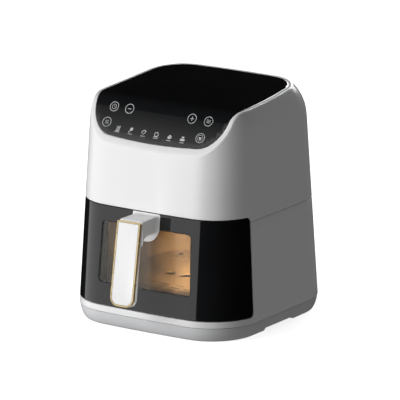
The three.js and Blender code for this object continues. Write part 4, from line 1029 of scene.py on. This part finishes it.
TUNNEL_POINTS = 160
tunnel_rings = [
    on_front(evenly(window_outline(5.4), TUNNEL_POINTS), DRAWER_WALL + FIT),
    on_sight(evenly(sight_outline(5.4), TUNNEL_POINTS)),
    on_sight(evenly(sight_outline(3.4), TUNNEL_POINTS)),
    on_front(evenly(window_outline(-0.4), TUNNEL_POINTS), DRAWER_WALL + FIT),
]
points, faces = loft(tunnel_rings, cyclic=True)
make_piece("window_tunnel", points, faces, SHADOW_BLACK, "drawer")
# The seal is in the painted-shade black, not in the rubber finish.
points, faces = plate(sight_outline(3.1), [sight_outline(0.9)], [], on_frame, FRAME_SHEET, 0.4)
make_piece("window_gasket", points, faces, SHADOW_BLACK, "drawer", ["window_seal"])
points, faces = plate(sight_outline(0.85), [], [], on_frame, FRAME_SHEET, 0.3)
# Painted shade on the inner pane's cut edges.
paint_shade_on_glass_edges(make_piece("window_inner_pane", points, faces, INNER_PANE, "drawer", ["inner_window"]))

# %% Rim that carries the frame round the drawer's ends
outer = box_outline(-FRONT_END + 4, FRONT_END - 4, rim_low, rim_high, 4, 3.0)
hole = box_outline(-FRONT_END + 40, FRONT_END - 40, rim_low + 9, rim_high - 9, 6, 3.0)
layout = np.stack(np.meshgrid(run[np.abs(run) < FRONT_END - 5], np.arange(34, 160, 9.0)), -1).reshape(-1, 2)
points, faces = plate(outer, [hole], layout, lambda p, d: on_front(p, d + DRAWER_WALL + FIT), 2.3, 0.5)
make_piece("drawer_lining", points, faces, DARK, "drawer")

# %% [markdown]
# ## Basket
# The basket is a deep-drawn pan with round corners and a rolled rim. The loft goes down the outside,
# round the bottom and back up the inside. The sight opening and the rows of air slots are cut after,
# as a press would punch them.

# %% Basket
BASKET_HALF = HALF_WIDTH - 23 - 1 - 5
BASKET_FRONT = SIGHT_Y + 2.7
BASKET_BACK = HALF_DEPTH - 29.5 - 1 - 7.5
BASKET_FLOOR, BASKET_TOP, BASKET_WALL = 34.6, 152.0, 1.5
BASKET_CORNER, FOOT_RADIUS = 50, 11


def basket_ring(z, inset):
    half, front, back = BASKET_HALF - inset, BASKET_FRONT + inset, BASKET_BACK - inset
    corners = [(-half, front), (half, front), (half, back), (-half, back)]
    ring = rounded(corners, BASKET_CORNER - inset, True, math.radians(4.5))
    return [(x, y, z) for x, y in ring]


def basket_foot(inset, shares):
    """The round turn from the floor to the wall, for the outer face (inset 0) or the inner one."""
    made = []
    for t in np.asarray(shares) * math.pi / 2:
        rise, back = FOOT_RADIUS * (1 - math.cos(t)), FOOT_RADIUS * (1 - math.sin(t))
        made.append(basket_ring(BASKET_FLOOR + inset + rise, inset + back))
    return made


FOOT_TURN = np.linspace(0, 1, 9)
WALL_LEVELS = np.linspace(52, 149.4, 12)
ROLL = 0.75
outside = [basket_ring(BASKET_FLOOR, 40), basket_ring(BASKET_FLOOR, 16)]
outside += basket_foot(0, FOOT_TURN) + [basket_ring(z, 0) for z in WALL_LEVELS]
half_turn = np.linspace(0, math.pi, 7)
rim_roll = [basket_ring(BASKET_TOP - ROLL + ROLL * math.sin(t), ROLL - ROLL * math.cos(t)) for t in half_turn]
indoors = [basket_ring(z, BASKET_WALL) for z in WALL_LEVELS[::-1]] + basket_foot(BASKET_WALL, FOOT_TURN[::-1])
indoors += [basket_ring(BASKET_FLOOR + BASKET_WALL, 18), basket_ring(BASKET_FLOOR + BASKET_WALL, 40)]
points, faces = loft(outside + rim_roll + indoors)
basket = make_piece("basket_pan", points, faces, NONSTICK, "drawer", ["basket"])
PLATE_RISE = 13
PLATE_Z = BASKET_FLOOR + BASKET_WALL + PLATE_RISE
cutters = [prism(sight_outline(1.8), "y", BASKET_FRONT - 5, BASKET_FRONT + 25)]
for row in range(6):
    z = PLATE_Z + 13.5 + row * 5.8
    cutters += [prism(slot_outline(x, z, 21, 2.4), "y", BASKET_BACK - 9, BASKET_BACK + 5) for x in (-39, -13, 13, 39)]
cut_away(basket, *cutters)
tidy_mesh(basket, 32)
print("basket:", len(basket.data.polygons), "faces")

# %% [markdown]
# ## Crisper plate
# Food sits on a loose plate with big round holes in the middle and rows of short slots before and
# behind them. It is a plate in the plainest sense, and it lifts out on four rubber bumpers.

# %% Crisper plate and bumpers
middle_y = (BASKET_FRONT + BASKET_BACK) / 2
outline = np.array([(x, y) for x, y, _ in basket_ring(0, BASKET_WALL + 2)])
BUMPER_IN = 30
BUMPER_Y = (BASKET_FRONT + BUMPER_IN, BASKET_BACK - BUMPER_IN)
BUMPERS = [(s * (BASKET_HALF - BUMPER_IN), y) for s in (-1, 1) for y in BUMPER_Y]
holes = [circle(x, middle_y - 9.5, 7) for x in (-35, -11.5, 11.5, 35)]
for row in range(4):
    holes += [slot_outline(x, middle_y - 57 - 11 * row, 15, 3.2) for x in (-32.5, -11, 11, 32.5)]
for row in range(6):
    y = middle_y + 43 + 8.2 * row
    beside = () if abs(y - BUMPER_Y[1]) < 7 else (-69, 69)
    holes += [slot_outline(x, y, 20, 2.6) for x in (-42, -14, 14, 42) + beside]
holes += [circle(x, y, 3.0, 20) for x, y in BUMPERS]
layout = grid_points(-100, 100, 7, BASKET_FRONT, BASKET_BACK, 7)


def on_crisper(points, depth):
    return np.stack([points[:, 0], points[:, 1], PLATE_Z + 1.6 - depth], 1)


points, faces = plate(outline, holes, layout, on_crisper, 1.6, 0.5, 0.3)
make_piece("crisper", points, faces, NONSTICK, "crisper", ["crisper_plate"])
low = BASKET_FLOOR + BASKET_WALL + FIT
shape = [
    (0.5, low), (4.8, low), (5.5, low + 0.8), (5.5, PLATE_Z - 1.1), (4.9, PLATE_Z - FIT),
    (2.7, PLATE_Z - FIT), (2.7, PLATE_Z + 2.2), (2.2, PLATE_Z + 2.8), (0.5, PLATE_Z + 2.8),
]
for k, (x, y) in enumerate(BUMPERS):
    points, faces = loft(lathe(shape, (x, y, 0), 28))
    make_piece(f"bumper_{k + 1}", points, faces, RUBBER, "crisper", [f"plate_bumper_{k + 1}"])

# %% [markdown]
# ## Handle
# The handle is the part a hand meets, so it gets the softest edges. A white face sits in a gold
# border on the grip. Behind it are the grip's back and an arm, whose pad flows into the drawer front
# like the bowl of a spoon. The grip is kept out of mirror reflections, because the gloss front beside
# it would otherwise carry a second, bright grip.

# %% Frame of the leaning grip
GRIP_TOP = (front_wall(DRAWER_TOP) - 40.7, DRAWER_TOP - 3.4)
LEAN = math.radians(9.9)
GRIP_WIDTH, GRIP_LENGTH, TRIM = 35.8, 111.0, 2.0
down_axis = np.array([0, -math.sin(LEAN), -math.cos(LEAN)])
into_axis = np.array([0, math.cos(LEAN), -math.sin(LEAN)])
grip_start = np.array([0, *GRIP_TOP])


def on_grip(points, depth, start=0.0):
    flat = grip_start + points[:, :1] * [1, 0, 0] + points[:, 1:] * down_axis
    return flat + (depth + start)[:, None] * into_axis


def grip_outline(inset, step=4.0):
    half = GRIP_WIDTH / 2 - inset
    top, low = max(0.6, 2.5 - inset), 12 - inset
    corners = [(-half, inset), (half, inset), (half, GRIP_LENGTH - inset), (-half, GRIP_LENGTH - inset)]
    return denser(rounded(corners, [top, top, low, low]), step)


print("grip:", GRIP_WIDTH, "by", GRIP_LENGTH, "mm, leaning", round(math.degrees(LEAN), 1), "degrees")

# %% Face and gold border
layout = grid_points(-14, 14, 4, 4, 108, 6)
points, faces = plate(grip_outline(TRIM + FIT), [], layout, lambda p, d: on_grip(p, d, 0.05), 1.75, 0.5)
grip_face = make_piece("grip_face", points, faces, WHITE, "drawer", ["handle_face"])
points, faces = plate(grip_outline(0), [grip_outline(TRIM)], [], lambda p, d: on_grip(p, d), 4.2, 0.35)
grip_border = make_piece("grip_border", points, faces, GOLD, "drawer", ["handle_trim"])


# %% Back of the grip
def grip_thickness(down):
    return 9 + 4 * np.clip((down - GRIP_LENGTH * 0.55) / (GRIP_LENGTH * 0.45 + 9), 0, 1)


shape0 = counterclockwise(grip_outline(0, 3.0))
ROUND = 3.4
back_rings = []
for shrink, depth in ((TRIM + FIT, 2.1), (TRIM + FIT, 4.4), (0.35, 4.5), (0.0, 4.9)):
    back_rings.append(on_grip(offset_loop(shape0, shrink), np.full(len(shape0), depth)))
turn = np.linspace(0, math.pi / 2, 7)
for t in turn:
    ring = offset_loop(shape0, ROUND * (1 - math.cos(t)))
    back_rings.append(on_grip(ring, grip_thickness(ring[:, 1]) - ROUND * (1 - math.sin(t))))
ring = offset_loop(shape0, 8)
back_rings.append(on_grip(ring, grip_thickness(ring[:, 1])))
points, faces = loft(back_rings)
grip_piece = make_piece("grip_back", points, faces, WHITE, "drawer", ["handle_arm"])

# %% Arm and pad as one flowing loft
ARM_TOP, ARM_LOW, PAD_LOW, PAD_HALF, ARM_HALF = DRAWER_TOP - 2.9, DRAWER_TOP - 25.9, 123.0, 21.3, 17.6
PAD_TOP = DRAWER_TOP - 0.2
BOWL_OUT, ARM_TOP_RADIUS, ARM_LOW_RADIUS = 15, 1.4, 3.2
ARM_STATIONS = [0, 0.6, 1.4, 2.4, 3.6, 5, 6.6, 8.4, 10.4, 12.6, 15, 19, 23, 26, 28, 30, 32, 34]


def arm_section(half, top, low, low_radius):
    """A rounded rectangle with the same number of points whatever its radii."""
    corners = [(-half, low), (half, low), (half, top), (-half, top)]
    radii = [low_radius, low_radius, ARM_TOP_RADIUS, ARM_TOP_RADIUS]
    return evenly(np.array(rounded(corners, radii, True, math.radians(5))), 64)


def eased(t):
    return 1 - math.sqrt(max(0.0, 1 - (1 - t) ** 2)) if t < 1 else 0.0


arm_rings = []
for out in ARM_STATIONS:
    bowl = eased(min(1, out / BOWL_OUT))
    flare = eased(min(1, out / 7))
    front_curve = 1 - math.sqrt(max(0.0, 1 - min(1, max(0, out - 24) / 9) ** 2))
    low = ARM_LOW - (ARM_LOW - PAD_LOW) * bowl - 10 * front_curve
    half = ARM_HALF + (PAD_HALF - ARM_HALF) * flare
    top = ARM_TOP + (PAD_TOP - ARM_TOP) * eased(min(1, out / 3.5))
    low_radius = ARM_LOW_RADIUS + (PAD_HALF - 1.2 - ARM_LOW_RADIUS) * eased(min(1, out / 13))
    section = arm_section(half, top, low, low_radius)
    if out == 0:
        y = skin_y = on_front(section, -0.3)[:, 1]
    else:
        near = min(1, out / BOWL_OUT)
        y = skin_y * (1 - near) + (front_wall(DRAWER_TOP) - 0.4 - max(out, BOWL_OUT)) * near
    arm_rings.append(np.stack([section[:, 0], y, section[:, 1]], 1))
points, faces = loft(arm_rings)
make_piece("grip_arm", points, faces, WHITE, "drawer", ["handle_arm"], 34)
for piece in (grip_piece, grip_face, grip_border):
    piece.visible_glossy = False

# %% [markdown]
# ## Heater and lining
# Under the hood a spiral tube heater sits in a steel chamber over the basket. It shows only from
# below, with the drawer out, so the tube is the one piece here that is drawn again with a round
# section. The formed sheets keep their plain shapes and take the metal finishes.

# %% Heating element
CHAMBER_Y = middle_y
ELEMENT_Z, SHIELD_TOP = 177.0, 210.3
rise = [(-66, 0, SHIELD_TOP + 6 - k) for k in np.linspace(0, SHIELD_TOP - ELEMENT_Z - 6, 8)]
spiral = []
for k in np.linspace(0.02, 0.98, 130):
    angle, radius = math.pi - k * 4 * math.pi, 66 + 24 * k
    spiral.append((radius * math.cos(angle), radius * math.sin(angle), ELEMENT_Z))
fall = [(-90, 0, ELEMENT_Z + 8 + k) for k in np.linspace(0, SHIELD_TOP - ELEMENT_Z - 2, 8)]
path = np.array(rise + spiral + fall) + [0, CHAMBER_Y, 0]
points, faces = tube(path, 3.2, 14)
make_piece("heater_tube", points, faces, TUBE, "housing", ["heating_element"])

# %% Finishes for the frame's own nodes
slot_finish = {
    "white_shell": WHITE, "black_panel": BLACK, "grey_base": GREY, "dark_plastic": DARK, "rubber": RUBBER,
    "steel": STEEL, "element_tube": TUBE, "nonstick": NONSTICK, "gold_trim": GOLD, "clear_glass": INNER_PANE,
    "circuit_board": BOARD, "motor_paint": PAINT,
}
special = {"lamp_bulb": BULB, "lamp_lens": LENS}
slots_of = {entry["node"]: entry["material_slot"] for entry in frame["record"].get("subparts", [])}
for name, node in frame["nodes"].items():
    wanted = slots_of.get(name)
    node.data.materials.clear()
    node.data.materials.append(special.get(name) or slot_finish.get(wanted, STEEL))
print("frame nodes still shown:", sum(not n.hide_render for n in frame["nodes"].values()))

# %% [markdown]
# ## Stage and light
# A plain pale floor, a large soft light in front on the left, a weaker one behind, and a very soft
# sky. A tall pale card stands in front of the drawer: gloss black shows nothing of itself, only what
# it mirrors, so a studio gives it something even to mirror.

# %% Floor
floor_mesh = bpy.data.meshes.new("floor")
REACH = 40.0
floor_corners = [(-REACH, -REACH, 0), (REACH, -REACH, 0), (REACH, REACH, 0), (-REACH, REACH, 0)]
floor_mesh.from_pydata(floor_corners, [], [(0, 1, 2, 3)])
floor = add_object("floor", floor_mesh)
paper = finish("pale_studio_paper", [(0.86, 0.86, 0.86), (0.88, 0.88, 0.88)], (0.85, 0.95), 60, 0.02)
paper_shader = paper.node_tree.nodes["Principled BSDF"]
paper_shader.inputs["Emission Color"].default_value = (1, 1, 1, 1)
paper_shader.inputs["Emission Strength"].default_value = 0.82
paper_shader.inputs["Specular IOR Level"].default_value = 0.0
floor_mesh.materials.append(paper)
floor.visible_diffuse = False
floor.visible_glossy = False
print("floor:", 2 * REACH, "m across")

# %% Lights
LIGHT_AIM = Vector((0, 0.02, 0.15))


def bearing(a, e):
    """The direction at an azimuth and elevation, both in radians. Azimuth 0 is straight in front."""
    return Vector((math.sin(a) * math.cos(e), -math.cos(a) * math.cos(e), math.sin(e)))


def face_from(thing, back):
    """Turns a lamp or camera so that it looks against back."""
    thing.rotation_mode = "QUATERNION"
    thing.rotation_quaternion = back.to_track_quat("Z", "Y")


def soft_light(name, azimuth, elevation, distance, width, height, power):
    data = bpy.data.lights.new(name, "AREA")
    data.shape, data.size, data.size_y = "RECTANGLE", width, height
    data.energy = power
    light = add_object(name, data)
    back = bearing(math.radians(azimuth), math.radians(elevation))
    light.location = LIGHT_AIM + back * distance
    face_from(light, back)
    return light


key = soft_light("key", -33, 14, 2.4, 1.6, 1.8, 58)
key.visible_glossy = False
rear = soft_light("rear", 190, 25, 2.6, 1.6, 1.2, 32)
world = bpy.data.worlds.new("studio")
world.use_nodes = True
world_nodes, world_links = world.node_tree.nodes, world.node_tree.links
SKY_NODES = ("ShaderNodeTexCoord", "ShaderNodeSeparateXYZ", "ShaderNodeMapRange")
sky, height, ramp = (world_nodes.new(n) for n in SKY_NODES)
world_links.new(sky.outputs["Generated"], height.inputs["Vector"])
world_links.new(height.outputs["Z"], ramp.inputs["Value"])
ramp.inputs["To Min"].default_value, ramp.inputs["To Max"].default_value = 0.225, 0.0
world_links.new(ramp.outputs["Result"], world_nodes["Background"].inputs["Strength"])
world_nodes["Background"].inputs["Color"].default_value = (1, 1, 1, 1)
scene.world = world
world.cycles_visibility.glossy = False
print("soft lights:", [(light.name, light.data.energy) for light in (key, rear)])

# %% Card that the gloss mirrors
CARD_SLANT = 0.72


def card(name, azimuth, distance, left, right, low, high, soft, strength):
    """An upright pale card that only gloss can see, fading out over its top edge."""
    a = math.radians(azimuth)
    back, across = np.array([math.sin(a), -math.cos(a)]), np.array([math.cos(a), math.sin(a)])
    corners = []
    for side, z in ((left, low), (right, low), (right, high + CARD_SLANT * right), (left, high + CARD_SLANT * left)):
        p = back * distance + across * side + [0, SHIFT_Y]
        corners.append((p[0], p[1], z))
    mesh = bpy.data.meshes.new(name)
    mesh.from_pydata(corners, [], [(0, 1, 2, 3)])
    piece = add_object(name, mesh)
    material = bpy.data.materials.new(name)
    material.use_nodes = True
    nodes, links = material.node_tree.nodes, material.node_tree.links
    nodes.remove(nodes["Principled BSDF"])
    kinds = ("ShaderNodeEmission", "ShaderNodeTexCoord", "ShaderNodeVectorMath", "ShaderNodeMapRange")
    glow, where, rise, fade = (nodes.new(n) for n in kinds)
    rise.operation = "DOT_PRODUCT"
    rise.inputs[1].default_value = (-CARD_SLANT * across[0], -CARD_SLANT * across[1], 1)
    links.new(where.outputs["Object"], rise.inputs[0])
    links.new(rise.outputs["Value"], fade.inputs["Value"])
    fade.interpolation_type = "SMOOTHSTEP"
    fade.inputs["From Min"].default_value, fade.inputs["From Max"].default_value = high - soft, high
    fade.inputs["To Min"].default_value, fade.inputs["To Max"].default_value = strength, 0.0
    links.new(fade.outputs["Result"], glow.inputs["Strength"])
    links.new(glow.outputs["Emission"], nodes["Material Output"].inputs["Surface"])
    mesh.materials.append(material)
    piece.visible_camera = piece.visible_diffuse = piece.visible_shadow = piece.visible_transmission = False
    return piece


front_card = card("front_card", -44, 0.95, -0.92, 0.92, -0.7, 0.99, 0.16, 0.85)
print(front_card.name, "is", [round(v, 2) for v in front_card.dimensions], "m")


# %% Lamps in the cavity, and a fill light under the handle's bowl
def spot(name, place, aim, power, angle, colour, size=0.012):
    data = bpy.data.lights.new(name, "SPOT")
    data.energy, data.color = power, colour
    data.spot_size, data.spot_blend, data.shadow_soft_size = math.radians(angle), 1.0, size
    light = add_object(name, data)
    light.location = Vector(place) * MM + Vector((0, SHIFT_Y, 0))
    face_from(light, Vector(place) - Vector(aim))
    return light


spot("rear_lamp", (75, -60, 150), (-5, 56, 50), 6.5, 56, (1.0, 0.66, 0.34))
spot("plate_lamp", (75, -60, 150), (34, -24, 50), 3.2, 76, (1.0, 0.66, 0.34))
fill = spot("bowl_fill", (42.5, -192, 33), (8, -140, 130), 0.3, 40, (1, 1, 1), 0.02)
fill.visible_glossy = False

# %% [markdown]
# ## Camera
# A long lens a few metres away keeps the casing's uprights nearly parallel, which is how catalogues
# like to show a box.

# %% Camera
camera_data = bpy.data.cameras.new("camera")
camera = add_object("camera", camera_data)
AZIMUTH, ELEVATION, DISTANCE = math.radians(33.684), math.radians(14.55), 6.0
target = Vector((0, 0.02614, 0.15063))
back = bearing(AZIMUTH, ELEVATION)
camera.location = target + back * DISTANCE
face_from(camera, back)
camera_data.sensor_width, camera_data.lens = 36.0, 410.9
camera_data.clip_start, camera_data.clip_end = 0.1, 100.0
camera_data.dof.use_dof = False
scene.camera = camera
scene.view_settings.view_transform = "Standard"
print("camera at", [round(v, 3) for v in camera.location])
